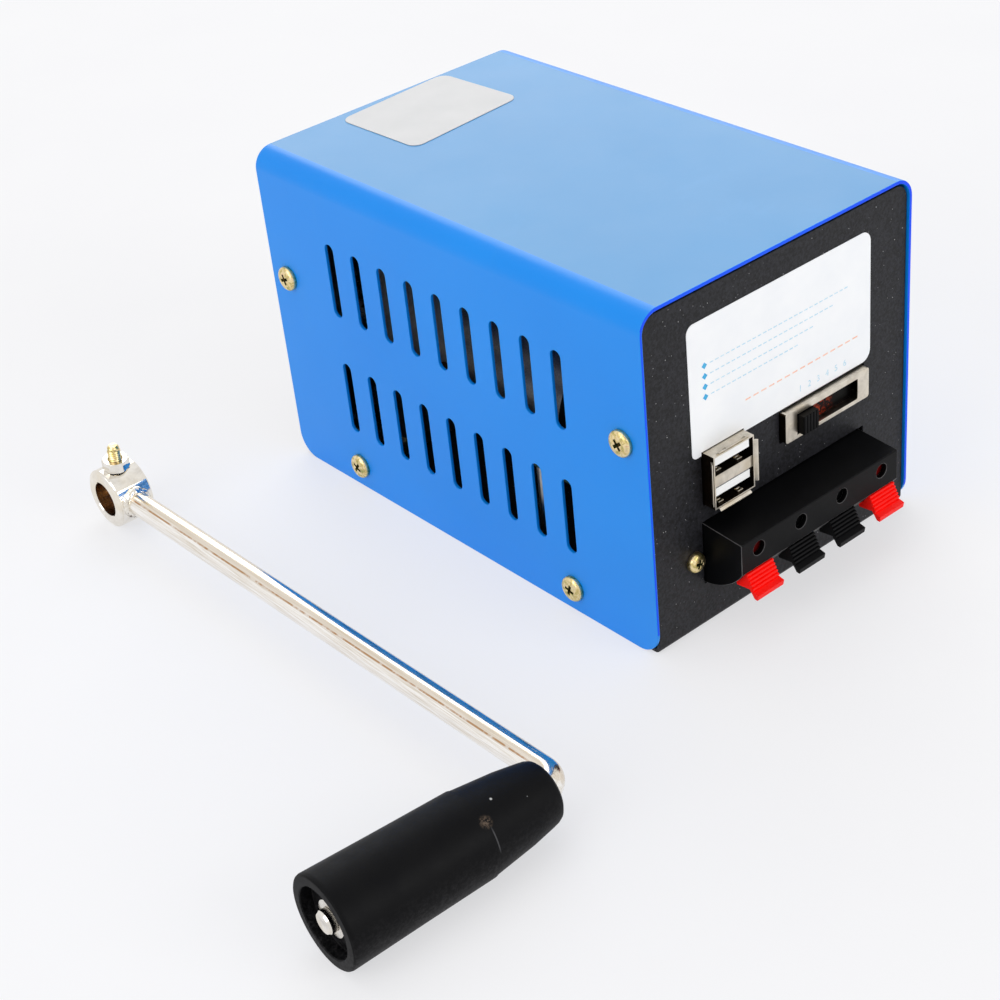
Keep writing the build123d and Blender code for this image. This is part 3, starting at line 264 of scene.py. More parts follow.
class Finish:
    """A material whose colour, gloss and relief come from its own patterns, sized in millimetres."""

    def __init__(self, name, metal=0.0, specular=0.5, coat=0.0, coat_roughness=0.1):
        self.material = bpy.data.materials.new(name)
        self.material.use_nodes = True
        self.tree = self.material.node_tree
        self.shader = self.tree.nodes["Principled BSDF"]
        self.shader.inputs["Metallic"].default_value = metal
        self.shader.inputs["Specular IOR Level"].default_value = specular
        self.shader.inputs["Coat Weight"].default_value = coat
        self.shader.inputs["Coat Roughness"].default_value = coat_roughness
        self.place = self.tree.nodes.new("ShaderNodeTexCoord").outputs["Object"]
        self.relief = None

    def link(self, a, b):
        self.tree.links.new(a, b)

    def add(self, kind, **levels):
        """New node, with the named inputs set."""
        node = self.tree.nodes.new("ShaderNode" + kind)
        for socket, level in levels.items():
            node.inputs[socket.replace("_", " ")].default_value = level
        return node

    def span(self, value, start, end, first=0.0, last=1.0):
        """Level that goes from first to last as the value goes from start to end."""
        node = self.add("MapRange", From_Min=start, From_Max=end, To_Min=first, To_Max=last)
        self.link(value, node.inputs["Value"])
        return node.outputs["Result"]

    def stretched(self, scale, turned_by=(0, 0, 0)):
        """The piece's own coordinates, stretched or turned for a grain."""
        mapping = self.add("Mapping", Scale=scale, Rotation=[radians(a) for a in turned_by])
        self.link(self.place, mapping.inputs["Vector"])
        return mapping.outputs["Vector"]

    def noise(self, size, detail=3.0, rough=0.55, distortion=0.0, place=None):
        """Cloudy pattern whose patches are about size millimetres across."""
        node = self.add(
            "TexNoise", Scale=1 / (size * MM), Detail=detail, Roughness=rough, Distortion=distortion
        )
        self.link(place or self.place, node.inputs["Vector"])
        return node.outputs["Fac"]

    def cells(self, size):
        """Distance from the middles of cells about size millimetres across."""
        node = self.add("TexVoronoi", Scale=1 / (size * MM))
        self.link(self.place, node.inputs["Vector"])
        return node.outputs["Distance"]

    def measured(self, way, vector):
        """Product of the place with a direction, or its distance from a spot."""
        node = self.add("VectorMath")
        node.operation = way
        node.inputs[1].default_value = vector
        self.link(self.place, node.inputs[0])
        return node.outputs["Value"]

    def along(self, direction, start, end):
        """0 to 1 between two places, in millimetres, along a direction."""
        return self.span(self.measured("DOT_PRODUCT", direction), start * MM, end * MM)

    def around(self, spot, radius, soft=0.5):
        """1 about a place on the piece, fading to 0 at the radius, in millimetres."""
        away = self.measured("DISTANCE", [v * MM for v in spot])
        return self.span(away, radius * soft * MM, radius * MM, 1.0, 0.0)

    def ramp(self, factor, *stops):
        """Colours or grey levels along a pattern: each stop (place, 8-bit colour or level)."""
        node = self.add("ValToRGB")
        band = node.color_ramp
        while len(band.elements) < len(stops):
            band.elements.new(0.5)
        for element, (place, value) in zip(band.elements, stops):
            element.position = place
            element.color = linear(value) if isinstance(value, tuple) else (value, value, value, 1)
        self.link(factor, node.inputs["Fac"])
        return node.outputs["Color"]

    def mix(self, factor, under, over, way="MIX"):
        """One colour or pattern over another, as far as the factor says."""
        node = self.add("Mix")
        node.data_type = "RGBA"
        node.blend_type = way
        share, below, above = node.inputs[0], node.inputs[6], node.inputs[7]
        if isinstance(factor, float):
            share.default_value = factor
        else:
            self.link(factor, share)
        for socket, value in ((below, under), (above, over)):
            if isinstance(value, tuple):
                socket.default_value = linear(value)
            else:
                self.link(value, socket)
        return node.outputs[2]

    def both(self, one, other):
        """Product of two patterns."""
        return self.mix(1.0, one, other, "MULTIPLY")

    def colour(self, socket):
        self.link(socket, self.shader.inputs["Base Color"])

    def gloss(self, factor, smoothest, roughest):
        """Roughness between two levels, following a pattern."""
        self.link(self.span(factor, 0.0, 1.0, smoothest, roughest), self.shader.inputs["Roughness"])

    def bump(self, height, depth, strength=1.0):
        """Relief of the given depth in millimetres; later ones lie over earlier ones."""
        node = self.add("Bump", Strength=strength, Distance=depth * MM)
        self.link(height, node.inputs["Height"])
        if self.relief:
            self.link(self.relief, node.inputs["Normal"])
        self.relief = node.outputs["Normal"]
        self.link(self.relief, self.shader.inputs["Normal"])
        return self


def seen_directly(tree):
    """1 for rays from the camera or off a glossy surface, 0 for the rest."""
    rays = tree.nodes.new("ShaderNodeLightPath")
    either = tree.nodes.new("ShaderNodeMath")
    either.operation = "MAXIMUM"
    tree.links.new(rays.outputs["Is Camera Ray"], either.inputs[0])
    tree.links.new(rays.outputs["Is Glossy Ray"], either.inputs[1])
    return either.outputs["Value"]


def painted_blue(name, deep, pale, specular):
    """Gloss enamel over folded sheet: slight orange peel, faint handling marks."""
    paint = Finish(name, specular=specular)
    body = paint.ramp(paint.noise(60, 2.0), (0.3, deep), (0.7, pale))
    scuff = paint.noise(26, 5.0, 0.7, 0.4, paint.stretched((1, 1.4, 0.5), (25, 0, 0)))
    dust = paint.ramp(scuff, (0.6, 0.0), (0.78, 0.1))
    paint.colour(paint.mix(dust, body, (60, 156, 226)))
    paint.gloss(paint.noise(18, 4.0), 0.3, 0.4)
    paint.bump(paint.noise(1.6, 2.0), 0.006)
    return paint.bump(paint.noise(45, 1.0), 0.12).material


def painted_black(name):
    """Fine-textured black powder coat with pale specks."""
    paint = Finish(name, specular=0.26)
    grain = paint.noise(0.85, 2.0, 0.7)
    body = paint.ramp(grain, (0.36, (8, 8, 10)), (0.64, (33, 33, 38)))
    specks = paint.ramp(paint.cells(1.35), (0.04, 1.0), (0.12, 0.0))
    stray = paint.ramp(paint.noise(2.4, 3.0), (0.5, 0.0), (0.6, 1.0))
    paint.colour(paint.mix(paint.both(specks, stray), body, (200, 200, 202)))
    paint.gloss(paint.noise(6, 4.0), 0.42, 0.6)
    return paint.bump(grain, 0.05, 0.8).material


def plated(name, dark, pale, tint, smoothest, roughest, dent=0.01, patch=3.0, burnt=0.0):
    """Bright plating: colour drifts a little, with fine wiping marks."""
    metal = Finish(name, metal=1.0)
    cloud = metal.noise(patch, 3.0, 0.6, 0.5)
    body = metal.ramp(cloud, (0.3, dark), (0.62, pale))
    warm = metal.ramp(metal.noise(patch * 2.7, 2.0), (0.5, 0.0), (0.72, 0.6))
    body = metal.mix(warm, body, tint)
    if burnt:
        spots = metal.ramp(metal.noise(1.3, 3.0, 0.6), (0.6, 0.0), (0.68, burnt))
        body = metal.mix(spots, body, (74, 48, 22))
    metal.colour(body)
    metal.gloss(metal.noise(patch * 0.6, 4.0, 0.65), smoothest, roughest)
    metal.bump(metal.noise(patch * 0.8, 2.0), dent)
    return metal.bump(metal.noise(0.25, 2.0), 0.002).material


def moulded(name, deep, pale, smoothest, roughest, grain=0.35, depth=0.012, specular=0.45):
    """Moulded plastic: eggshell grain, soft change of colour, a few rubbed places."""
    plastic = Finish(name, specular=specular)
    cloud = plastic.noise(9, 3.0)
    plastic.colour(plastic.ramp(cloud, (0.3, deep), (0.72, pale)))
    plastic.gloss(plastic.noise(4, 4.0, 0.65), smoothest, roughest)
    plastic.bump(plastic.noise(grain, 2.0, 0.6), depth)
    return plastic.bump(plastic.noise(12, 1.0), 0.05).material


def grip_plastic(name):
    """Black grip: grey mottling on its lower half, a rubbed scuff, a scratch and two specks."""
    plastic = Finish(name, specular=0.09)
    body = plastic.ramp(plastic.noise(7, 4.0, 0.6), (0.3, (3, 3, 5)), (0.75, (8, 8, 9)))
    lower_grey_mottle = plastic.ramp(plastic.noise(0.9, 6.0, 0.75), (0.45, 0.0), (0.75, 0.8))
    low = plastic.along((0, 0, -1), -17, -7)
    # greyer towards the bottom, fading out upwards
    body = plastic.mix(plastic.both(lower_grey_mottle, low), body, (58, 57, 59))
    patchy = plastic.ramp(plastic.noise(0.7, 3.0, 0.7), (0.42, 0.0), (0.56, 1.0))
    rubbed = plastic.both(plastic.around((-133.8, -110.3, 20.6), 1.9, 0.3), patchy)
    body = plastic.mix(rubbed, body, (98, 84, 72))
    for speck, size in (((-129.1, -106.6, 21.9), 0.4), ((-121.3, -109.6, 19.3), 0.3)):
        body = plastic.mix(plastic.around(speck, size), body, (190, 190, 188))
    line = plastic.along((-1, 0.05, 0), 127.55, 128.05)
    line = plastic.ramp(line, (0.0, 0.0), (0.4, 0.8), (0.6, 0.8), (1.0, 0.0))
    scratch = plastic.both(line, plastic.around((-133.2, -113.0, 16.6), 3.6))
    plastic.colour(plastic.mix(scratch, body, (84, 84, 86)))
    plastic.gloss(plastic.noise(3, 5.0, 0.7), 0.42, 0.6)
    plastic.bump(plastic.noise(0.4, 3.0, 0.6), 0.012)
    return plastic.bump(plastic.noise(8, 2.0), 0.05).material


def paper_film(name, pale, deep):
    """Coated label: near white, faint fibre and a slight cockle."""
    film = Finish(name, specular=0.4, coat=0.15, coat_roughness=0.25)
    film.colour(film.ramp(film.noise(14, 3.0), (0.3, deep), (0.7, pale)))
    film.gloss(film.noise(5, 3.0), 0.32, 0.46)
    film.bump(film.noise(0.3, 3.0), 0.003)
    return film.bump(film.noise(16, 1.0), 0.08).material


def ink(name, colour, faded):
    """Printed ink, worn thin in places."""
    film = Finish(name, specular=0.35)
    film.colour(film.ramp(film.noise(0.5, 3.0, 0.7), (0.35, colour), (0.7, faded)))
    film.gloss(film.noise(3, 2.0), 0.4, 0.55)
    return film.bump(film.noise(0.4, 2.0), 0.002).material


def zinc_yellow(name):
    """Yellow-passivated zinc: gold with pink and green drifts."""
    metal = Finish(name, metal=1.0)
    body = metal.ramp(
        metal.noise(1.6, 3.0, 0.6, 0.8), (0.32, (158, 160, 96)), (0.46, (216, 192, 128)),
        (0.58, (242, 224, 176)), (0.72, (218, 166, 128)),
    )
    metal.colour(body)
    metal.gloss(metal.noise(0.8, 4.0, 0.7), 0.22, 0.42)
    return metal.bump(metal.noise(0.3, 3.0), 0.008).material


def zinc_shade(name):
    """Bottom of a cross recess, darkened as painted shade: dark green-brown, with a little gold in
    patches.
    """
    metal = Finish(name, metal=1.0)
    cloud = metal.noise(0.8, 3.0, 0.6)
    metal.colour(metal.ramp(cloud, (0.35, (18, 26, 14)), (0.55, (52, 54, 28)), (0.75, (120, 84, 40))))
    metal.gloss(metal.noise(0.6, 3.0), 0.35, 0.55)
    return metal.bump(metal.noise(0.3, 3.0), 0.01).material


def contact_bed(name):
    """Contact strip behind the switch's window: orange blotches at the left, painted shade turning it
    black at the right.
    """
    bed = Finish(name, specular=0.08)
    blot = bed.noise(1.3, 4.0, 0.7, 0.6)
    orange_blotches = bed.ramp(blot, (0.48, (12, 5, 4)), (0.56, (150, 44, 14)), (0.7, (214, 96, 40)))
    # painted shade: near black towards the strip's right end
    bed.colour(bed.mix(bed.along((1, 0, 0), 14.5, 19.5), orange_blotches, (3, 2, 2)))
    bed.gloss(bed.noise(1.2, 3.0), 0.25, 0.5)
    return bed.bump(bed.noise(0.8, 3.0), 0.03).material


def board_laminate(name, deep, pale):
    """Pressed board with a woven grain."""
    board = Finish(name, specular=0.4)
    weave = board.noise(0.6, 3.0, 0.6, 0.0, board.stretched((1, 6, 1)))
    board.colour(board.ramp(weave, (0.35, deep), (0.65, pale)))
    board.gloss(board.noise(5, 3.0), 0.35, 0.55)
    return board.bump(weave, 0.01).material


def grained_metal(name, dark, pale, smoothest, roughest, stretch=(1, 1, 1), fine=0.5):
    """Machined or rolled metal with a directional grain."""
    metal = Finish(name, metal=1.0)
    grain = metal.noise(fine, 4.0, 0.65, 0.0, metal.stretched(stretch))
    metal.colour(metal.ramp(grain, (0.3, dark), (0.7, pale)))
    metal.gloss(metal.noise(4, 3.0), smoothest, roughest)
    return metal.bump(grain, 0.008).material


def wound_copper(name):
    """Enamelled wire laid side by side."""
    wire = Finish(name, metal=0.85)
    turns = wire.add("TexWave", Scale=1 / (1.4 * MM), Distortion=1.2)
    turns.bands_direction = "Z"
    wire.link(wire.place, turns.inputs["Vector"])
    wire.colour(wire.ramp(turns.outputs["Fac"], (0.2, (120, 58, 26)), (0.8, (206, 120, 66))))
    wire.gloss(wire.noise(2, 3.0), 0.28, 0.46)
    return wire.bump(turns.outputs["Fac"], 0.12).material


finishes = {
    "blue_paint": painted_blue("blue enamel", (1, 138, 238), (4, 143, 242), 0.34),
    # painted light: a duller, glossier copy of the blue for the cover's top
    "blue_top_painted_light": painted_blue("blue enamel, duller and glossier as painted light", (2, 131, 194), (5, 135, 199), 0.5),
    # painted edge light: a deeper blue for the front edges of the cover's top and +X side
    "blue_edge_painted_light": painted_blue("blue enamel, deepened as painted edge light", (0, 70, 246), (1, 92, 250), 0.2),
    "black_paint": painted_black("black powder coat"),
    "yellow_zinc": zinc_yellow("yellow zinc"),
    "white_film": paper_film("white label film", (250, 251, 252), (243, 245, 248)),
    "grey_film": paper_film("grey-white sticker film", (194, 194, 195), (187, 188, 189)),
    "bright_nickel": plated(
        "bright nickel", (208, 202, 192), (236, 232, 224), (232, 214, 180), 0.07, 0.2,
    ),
    "satin_nickel": plated(
        "satin nickel", (196, 188, 174), (222, 214, 200), (206, 190, 160), 0.24, 0.38, 0.006,
    ),
    "white_plastic": moulded("white socket plastic", (247, 247, 245), (254, 254, 253), 0.35, 0.5),
    "gilt": plated("gilt", (196, 150, 66), (232, 190, 100), (236, 204, 130), 0.16, 0.3, 0.004, 1.5),
    "steel": grained_metal("steel", (142, 142, 144), (186, 186, 188), 0.26, 0.42),
    "laminate": board_laminate("orange-brown laminate", (120, 52, 18), (176, 84, 30)),
    "black_plastic": moulded("satin black plastic", (2, 2, 3), (5, 5, 6), 0.38, 0.52, specular=0.1),
    # painted highlights: light grey for the terminal block's softened edges
    "edge_highlight_plastic": moulded(
        "black plastic with painted edge highlights", (48, 47, 48), (92, 90, 90), 0.45, 0.6,
    ),
    "grip_plastic": grip_plastic("black grip plastic"),
    "red_plastic": moulded("red plastic", (250, 10, 2), (255, 17, 5), 0.34, 0.48, 0.4, 0.008, 0.2),
    "dark_red": moulded(
        "red plastic in the shade", (74, 2, 2), (120, 5, 4), 0.4, 0.55, 0.4, 0.008, 0.1,
    ),
    "collar_nickel": plated(
        "polished nickel", (222, 216, 206), (242, 238, 230), (238, 226, 200), 0.03, 0.11, 0.006, 4.0,
    ),
    # painted shade: darker, browner nickel for the collar's bore
    "bore_painted_shade": plated(
        "bore nickel darkened as painted shade", (128, 98, 66), (176, 146, 108), (84, 88, 116), 0.18, 0.34, 0.01, 3.0,
    ),
    "tinned_brass": plated(
        "tinned brass", (176, 170, 156), (206, 200, 184), (196, 176, 130), 0.22, 0.36, 0.005,
    ),
    "bronze": grained_metal("sintered bronze", (128, 88, 48), (176, 128, 74), 0.36, 0.52, fine=0.3),
    "gear_steel": grained_metal(
        "gear steel", (128, 130, 134), (174, 176, 180), 0.24, 0.4, (1, 0.2, 1),
    ),
    "magnet": moulded("magnet ferrite", (46, 44, 46), (64, 62, 64), 0.5, 0.66, 0.2, 0.02),
    "carbon": moulded("brush carbon", (38, 38, 40), (58, 58, 60), 0.45, 0.6, 0.2, 0.02),
    "copper": wound_copper("copper winding"),
    "dark_nickel": plated(
        "nickel in the shade", (26, 20, 15), (46, 36, 26), (40, 26, 14), 0.34, 0.5, 0.004,
    ),
    "recess_shade": zinc_shade("zinc in the cross recess"),
    "weld_nickel": plated(
        "nickel over the weld", (206, 198, 186), (240, 236, 228), (236, 226, 200),
        0.08, 0.24, 0.03, 1.6, 1.0,
    ),
    "contact_bed": contact_bed("contact strip"),
    "board_green": board_laminate("green circuit board", (14, 74, 40), (24, 98, 54)),
    "can_sleeve": moulded("capacitor sleeve", (18, 24, 62), (28, 36, 84), 0.26, 0.4, 0.6, 0.004),
    "ferrite": moulded("choke ferrite", (52, 50, 50), (74, 70, 68), 0.5, 0.66, 0.25, 0.02),
    "aluminium": grained_metal(
        "aluminium", (170, 172, 176), (206, 208, 210), 0.28, 0.44, (0.1, 1, 1),
    ),
    "light_ink": ink("light blue ink", (40, 164, 220), (84, 184, 228)),
    "pale_ink": ink("worn light blue ink", (168, 212, 234), (222, 236, 244)),
    "orange_ink": ink("orange ink", (244, 182, 148), (248, 216, 196)),
}

node_finish = {
    "blue_paint": ["cover"],
    "black_paint": ["chassis"],
    "yellow_zinc": [
        "cover_screws", "panel_screws", "gear_screws", "motor_screws", "board_screws", "clamp_screw",
    ],
    "white_film": ["panel_label"],
    "grey_film": ["top_sticker"],
    "bright_nickel": ["crank_collar", "crank_arm", "clamp_nut", "grip_washer", "usb_shell"],
    "satin_nickel": ["switch_frame", "bearing_plate", "gear_plate", "gear_pillars", "board_pillars"],
    "white_plastic": ["usb_core"],
    "gilt": ["usb_contacts"],
    "steel": ["crank_shaft", "rotor_shaft", "lever_pin", "motor_can"],
    "laminate": ["switch_base"],
    "black_plastic": ["switch_knob", "terminal_block", "lever_2", "lever_3", "motor_cap", "regulator"],
    "grip_plastic": ["grip"],
    "red_plastic": ["lever_1", "lever_4"],
    "tinned_brass": ["terminal_contacts", "switch_pins"] + [f"lever_spring_{n}" for n in (1, 2, 3, 4)],
    "bronze": ["crank_bushes", "second_bushes"],
    "gear_steel": ["main_gear", "second_shaft", "second_gear", "motor_pinion", "armature"],
    "magnet": ["motor_magnets"],
    "carbon": ["motor_brushes"],
    "copper": ["windings", "commutator"],
    "board_green": ["circuit_board"],
    "can_sleeve": ["capacitors"],
    "ferrite": ["choke"],
    "aluminium": ["heat_sink"],
}


def paint(piece, *names):
    """Give a piece its finish, the first one all over and the others for picked faces."""
    wanted = [finishes[name] for name in names]
    if list(piece.data.materials) != wanted:
        piece.data.materials.clear()
        for material in wanted:
            piece.data.materials.append(material)


def fit(piece, name, body, finish, *replaced):
    """Name a finished piece, paint it, and let it ride and stand for its nodes."""
    names = (finish,) if isinstance(finish, str) else finish
    piece.name = name
    paint(piece, *names)
    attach(piece, body)
    if replaced:
        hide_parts(*replaced)


def dressed(node, width, finish=()):
    """Copy of a CAD piece with its triangles merged into whole faces and its edges softened.

    A second finish in the list goes on the softened edges.
    """
    piece = another(nodes[node], f"{node}_soft")
    piece.parent = None
    for key in list(piece.keys()):
        del piece[key]
    pick(piece)
    bpy.ops.mesh.customdata_custom_splitnormals_clear()
    edit(piece)
    bpy.ops.mesh.select_all(action="SELECT")
    bpy.ops.mesh.remove_doubles(threshold=SAME_POINT)
    bpy.ops.mesh.dissolve_limited(angle_limit=radians(0.6))
    bpy.ops.object.mode_set(mode="OBJECT")
    if finish:
        paint(piece, *finish)
    soften(piece, width, 2, 35, 1 if finish else -1)
    keep_within(piece, node)
    smooth(piece, 40)
    return piece


for finish, members in node_finish.items():
    for node in members:
        paint(nodes[node], finish)

clear_selection()


# ---------------------------------------------------------------- box
# The cover's top gets a duller, glossier copy of the blue as painted light, and the front edges of the
# top and the +X side a deeper blue as painted edge light
cover = dressed("cover", 0.2)
fit(cover, "folded_cover", "housing", ("blue_paint", "blue_top_painted_light", "blue_edge_painted_light"), "cover")
# The top faces take the duller, glossier copy: painted light
touch_up(cover, 1, lambda middle, facing: facing.z > 0.998 and middle.z > box_height - 0.1)
# The front edge faces of the top and the +X side take the deeper blue: painted edge light
touch_up(cover, 2, lambda middle, facing: (
    facing.y < -0.6 and middle.y < -half_length + 0.3 and (middle.x > 0 or middle.z > box_height - 4)
))
fit(dressed("chassis", 0.2), "folded_chassis", "housing", "black_paint", "chassis")


def cross_punch(reach, width, depth):
    """Tapered cross that forms a recess, its top 1 mm above z = 0."""
    arms = []
    for angle in (0, 90):
        arm = slab("punch", (2 * reach, width, depth + 1), (0, 0, (1 - depth) / 2))
        choose(arm, "faces", lambda middle, facing: facing.z < -0.9)
        bpy.ops.transform.resize(value=(0.45, 0.8, 1), center_override=(0, 0, -depth * MM))
        bpy.ops.object.mode_set(mode="OBJECT")
        carry(arm, turn(angle, "Z"))
        arms.append(arm)
    combine(arms[0], arms[1], "UNION")
    return arms[0]


screw_finish = ("yellow_zinc", "recess_shade")


def pan_head(name, head_radius, crown, shank_radius, shank_length):
    """Pan-head screw along Z, its head from z = 0 to the crown, with a threaded shank below."""
    pitch, root = 0.7, 0.86 * shank_radius
    height = -shank_length + 0.9
    rings = [
        (0.3 * shank_radius, -shank_length), (0.75 * shank_radius, -shank_length + 0.4),
        (shank_radius, height),
    ]
    while height + pitch < -0.4:
        rings += [(root, height + pitch / 2), (shank_radius, height + pitch)]
        height += pitch
    rings += [
        (root, -0.2), (root, 0.0), (0.94 * head_radius, 0.0), (head_radius, 0.12 * crown),
        (head_radius, 0.42 * crown), (0.97 * head_radius, 0.62 * crown),
        (0.88 * head_radius, 0.8 * crown), (0.72 * head_radius, 0.92 * crown),
        (0.5 * head_radius, 0.985 * crown), (0.25 * head_radius, crown),
    ]
    screw = turned(name, rings, 40)
    punch = cross_punch(0.6 * head_radius, 0.27 * head_radius, 0.62 * crown)
    carry(punch, shift(0, 0, crown))
    cut_away(screw, punch)

    def in_recess(middle, facing):
        away = Vector(middle.xy).length
        wall = away < 0.62 * head_radius and middle.z < 0.97 * crown and abs(facing.z) < 0.9
        bottom = away < 0.4 * head_radius and middle.z < 0.6 * crown
        return middle.z > 0.2 * crown and (wall or bottom)

    paint(screw, *screw_finish)
    # The recess walls and bottom take the dark finish: painted shade in the cross
    touch_up(screw, 1, in_recess)
    soften(screw, 0.06, 1, 50)
    smooth(screw, 45)
    return screw


def screws(name, pattern, places, node):
    """Copies of a screw, each carried to its place by its moves."""
    for number, moves in enumerate(places, 1):
        screw = another(pattern, f"{name}_{number}")
        carry(screw, *moves)
        fit(screw, f"{name}_{number}", "housing", screw_finish, node)
    bpy.data.objects.remove(pattern)


# Each side has two upper and two lower screws: distance from the box's end, and height
cover_screw_places = [
    (side, end * (half_length - inset), height)
    for side in (-1, 1) for end in (-1, 1) for inset, height in ((8.3, 62.4), (31.3, 7.5))
]
screws("cover_screw", pan_head("screw", 3.7, 2.0, 1.9, 6.5), [
    (shift(side * half_width, y, z), turn(side * 90, "Y"), turn(37 * number % 90, "Z"))
    for number, (side, y, z) in enumerate(cover_screw_places, 1)
], "cover_screws")

# The panel's two screws stand either side of the push terminal
terminal_middle, screw_reach, screw_height = -0.35, 33.95, 22.45
screws("panel_screw", pan_head("screw", 2.8, 2.2, 1.45, 7.0), [
    (shift(terminal_middle + side * screw_reach, -panel_face, screw_height), turn(90, "X"),
     turn(20 * side, "Z"))
    for side in (-1, 1)
], "panel_screws")


# ---------------------------------------------------------------- labels
def sheet(name, corners, round_off, thickness):
    """Thin film through four corners, each corner with its own rounding."""
    clear_selection()
    bpy.ops.mesh.primitive_plane_add(size=2, location=(0, 0, 0))
    piece = bpy.context.object
    piece.name = name
    places = {(-1, -1): corners[0], (1, -1): corners[1], (1, 1): corners[2], (-1, 1): corners[3]}
    edit(piece)
    for (u, v), corner in places.items():
        choose(piece, "points", lambda co, n, u=u, v=v: co.x * MM * u > 0.5 and co.y * MM * v > 0.5)
        here = Vector((u, v, 0))
        bpy.ops.transform.translate(value=Vector((corner[0] * MM, corner[1] * MM, 0)) - here)
    for corner, radius in zip(corners, round_off):
        choose(piece, "points", lambda co, n: (co.xy - Vector(corner)).length < 0.1)
        bpy.ops.mesh.bevel(offset=radius * MM, segments=6, affect="VERTICES")
    bpy.ops.object.mode_set(mode="OBJECT")
    pick(piece)
    wall = piece.modifiers.new("film", "SOLIDIFY")
    wall.thickness = thickness * MM
    wall.offset = 1
    bpy.ops.object.modifier_apply(modifier=wall.name)
    soften(piece, 0.05, 1, 60)
    smooth(piece, 30)
    return piece


usb_x = -22.5
film = 0.2
label_print = -panel_face - film - 0.01
label_corners = [(-33.3, 52.35), (33.75, 52.35), (33.6, 90.3), (-33.55, 90.1)]
label = sheet("label", label_corners, (1.6, 3.2, 3.2, 2.4), film)
carry(label, shift(0, -panel_face, 0), turn(90, "X"))
cut_away(label, slab("notch", (15.4, 2, 4), (usb_x, -panel_face, 51.45)))
fit(label, "panel_label_film", "housing", "white_film", "panel_label")


def printed(name, places, size, finish, spin=0):
    """Flat marks of one size on the label, modelled once and copied."""
    mark = slab("mark", (size[0], 0.04, size[1]), (0, 0, 0), 0.015)
    marks = [another(mark, "mark") for _ in places]
    bpy.data.objects.remove(mark)
    for mark, (x, z) in zip(marks, places):
        carry(mark, shift(x, label_print, z), turn(spin, "Y"))
    pick(marks[0])
    for mark in marks[1:]:
        mark.select_set(True)
    bpy.ops.object.join()
    fit(marks[0], name, "housing", finish)


# Four lines of dashes, each shorter than the one above and led by a small square on its corner
line_heights = (77.4, 74.45, 71.5, 68.6)
square_x, first_dash, last_dash, shorter_by, dash_step = -27.9, -25.4, 25, 6.5, 1.9
squares = [(square_x, height - 0.1) for height in line_heights]
dashes = []
for line, height in enumerate(line_heights):
    x = first_dash
    while x < last_dash - shorter_by * line:
        dashes.append((x, height))
        x += dash_step
notice_start, notice_step, notice_height = -13.0, 2.9, 61.3
notice = [(notice_start + notice_step * n, notice_height) for n in range(15)]
printed("label_squares", squares, (1.35, 1.35), "light_ink", 45)
printed("label_rules", dashes, (1.25, 0.32), "pale_ink")
printed("label_orange_rule", notice, (1.9, 0.42), "orange_ink")

# Figures 1 to 6 over the switch's places
first_figure, figure_step, figure_height = 6.4, 3.44, 54.6
for number in range(6):
    clear_selection()
    bpy.ops.object.text_add()
    figure = bpy.context.object
    figure.data.body = str(number + 1)
    figure.data.size = 2.6 * MM
    figure.data.extrude = 0.02 * MM
    figure.data.align_x = "CENTER"
    bpy.ops.object.convert(target="MESH")
    carry(figure, shift(first_figure + figure_step * number, label_print, figure_height), turn(90, "X"))
    face_outwards(figure)
    fit(figure, f"switch_figure_{number + 1}", "housing", "pale_ink")

sticker_corners = [(-19.6, 40.8), (22.2, 44.5), (20.4, 76.9), (-20.5, 74.2)]
sticker = sheet("sticker", sticker_corners, (3.5, 3.5, 3.5, 3.5), film)
carry(sticker, shift(0, 0, box_height))
fit(sticker, "top_sticker_film", "housing", "grey_film", "top_sticker")


# ---------------------------------------------------------------- sockets, switch and terminal
usb_height = 45.4
usb_half_width, usb_half_height = 7.1, 7.6
usb_front = -panel_face - 4.0
shell = dressed("usb_shell", 0.08)
for x in (-24.9, -18.0):
    cut_away(shell, slab("notch", (1.3, 1.2, 2.2), (x, usb_front + 0.9, 53.9)))
smooth(shell, 40)
fit(shell, "usb_shell_soft", "housing", ("satin_nickel", "dark_nickel"), "usb_shell")


def in_shade(middle, facing):
    """Inside walls of the shell, and its outer wall on the -X side."""
    inside = (
        abs(facing.y) < 0.5 and abs(middle.x - usb_x) < usb_half_width
        and abs(middle.z - usb_height) < usb_half_height
    )
    outer = facing.x < -0.8 and middle.x < usb_x - usb_half_width
    return middle.y > usb_front + 1.2 and (inside or outer)


touch_up(shell, 1, in_shade)
fit(dressed("usb_core", 0.15), "usb_tongues", "housing", "white_plastic", "usb_core")

# Spring tabs on the shell's floors: a raised rim about a gilt bed
tab = slab("tab", (1.9, 1.5, 0.4), (0, 0, 0.2), 0.12, 2)
paint(tab, "satin_nickel", "gilt")
choose(tab, "faces", lambda middle, facing: facing.z > 0.9)
bpy.ops.mesh.inset(thickness=0.3 * MM, depth=-0.15 * MM)
bpy.ops.object.mode_set(mode="OBJECT")
touch_up(tab, 1, lambda middle, facing: facing.z > 0.9 and middle.z < 0.35)
upper_floor, lower_floor = 47.05, 38.0
tab_places = [
    (-26.2, 2.7, upper_floor), (-18.9, 2.4, upper_floor),
    (-26.4, 2.0, lower_floor), (-19.5, 1.8, lower_floor),
]
for number, (x, inwards, z) in enumerate(tab_places, 1):
    copy = another(tab, f"usb_tab_{number}")
    carry(copy, shift(x, usb_front + inwards, z))
    fit(copy, f"usb_tab_{number}", "housing", ("satin_nickel", "gilt"))
bpy.data.objects.remove(tab)

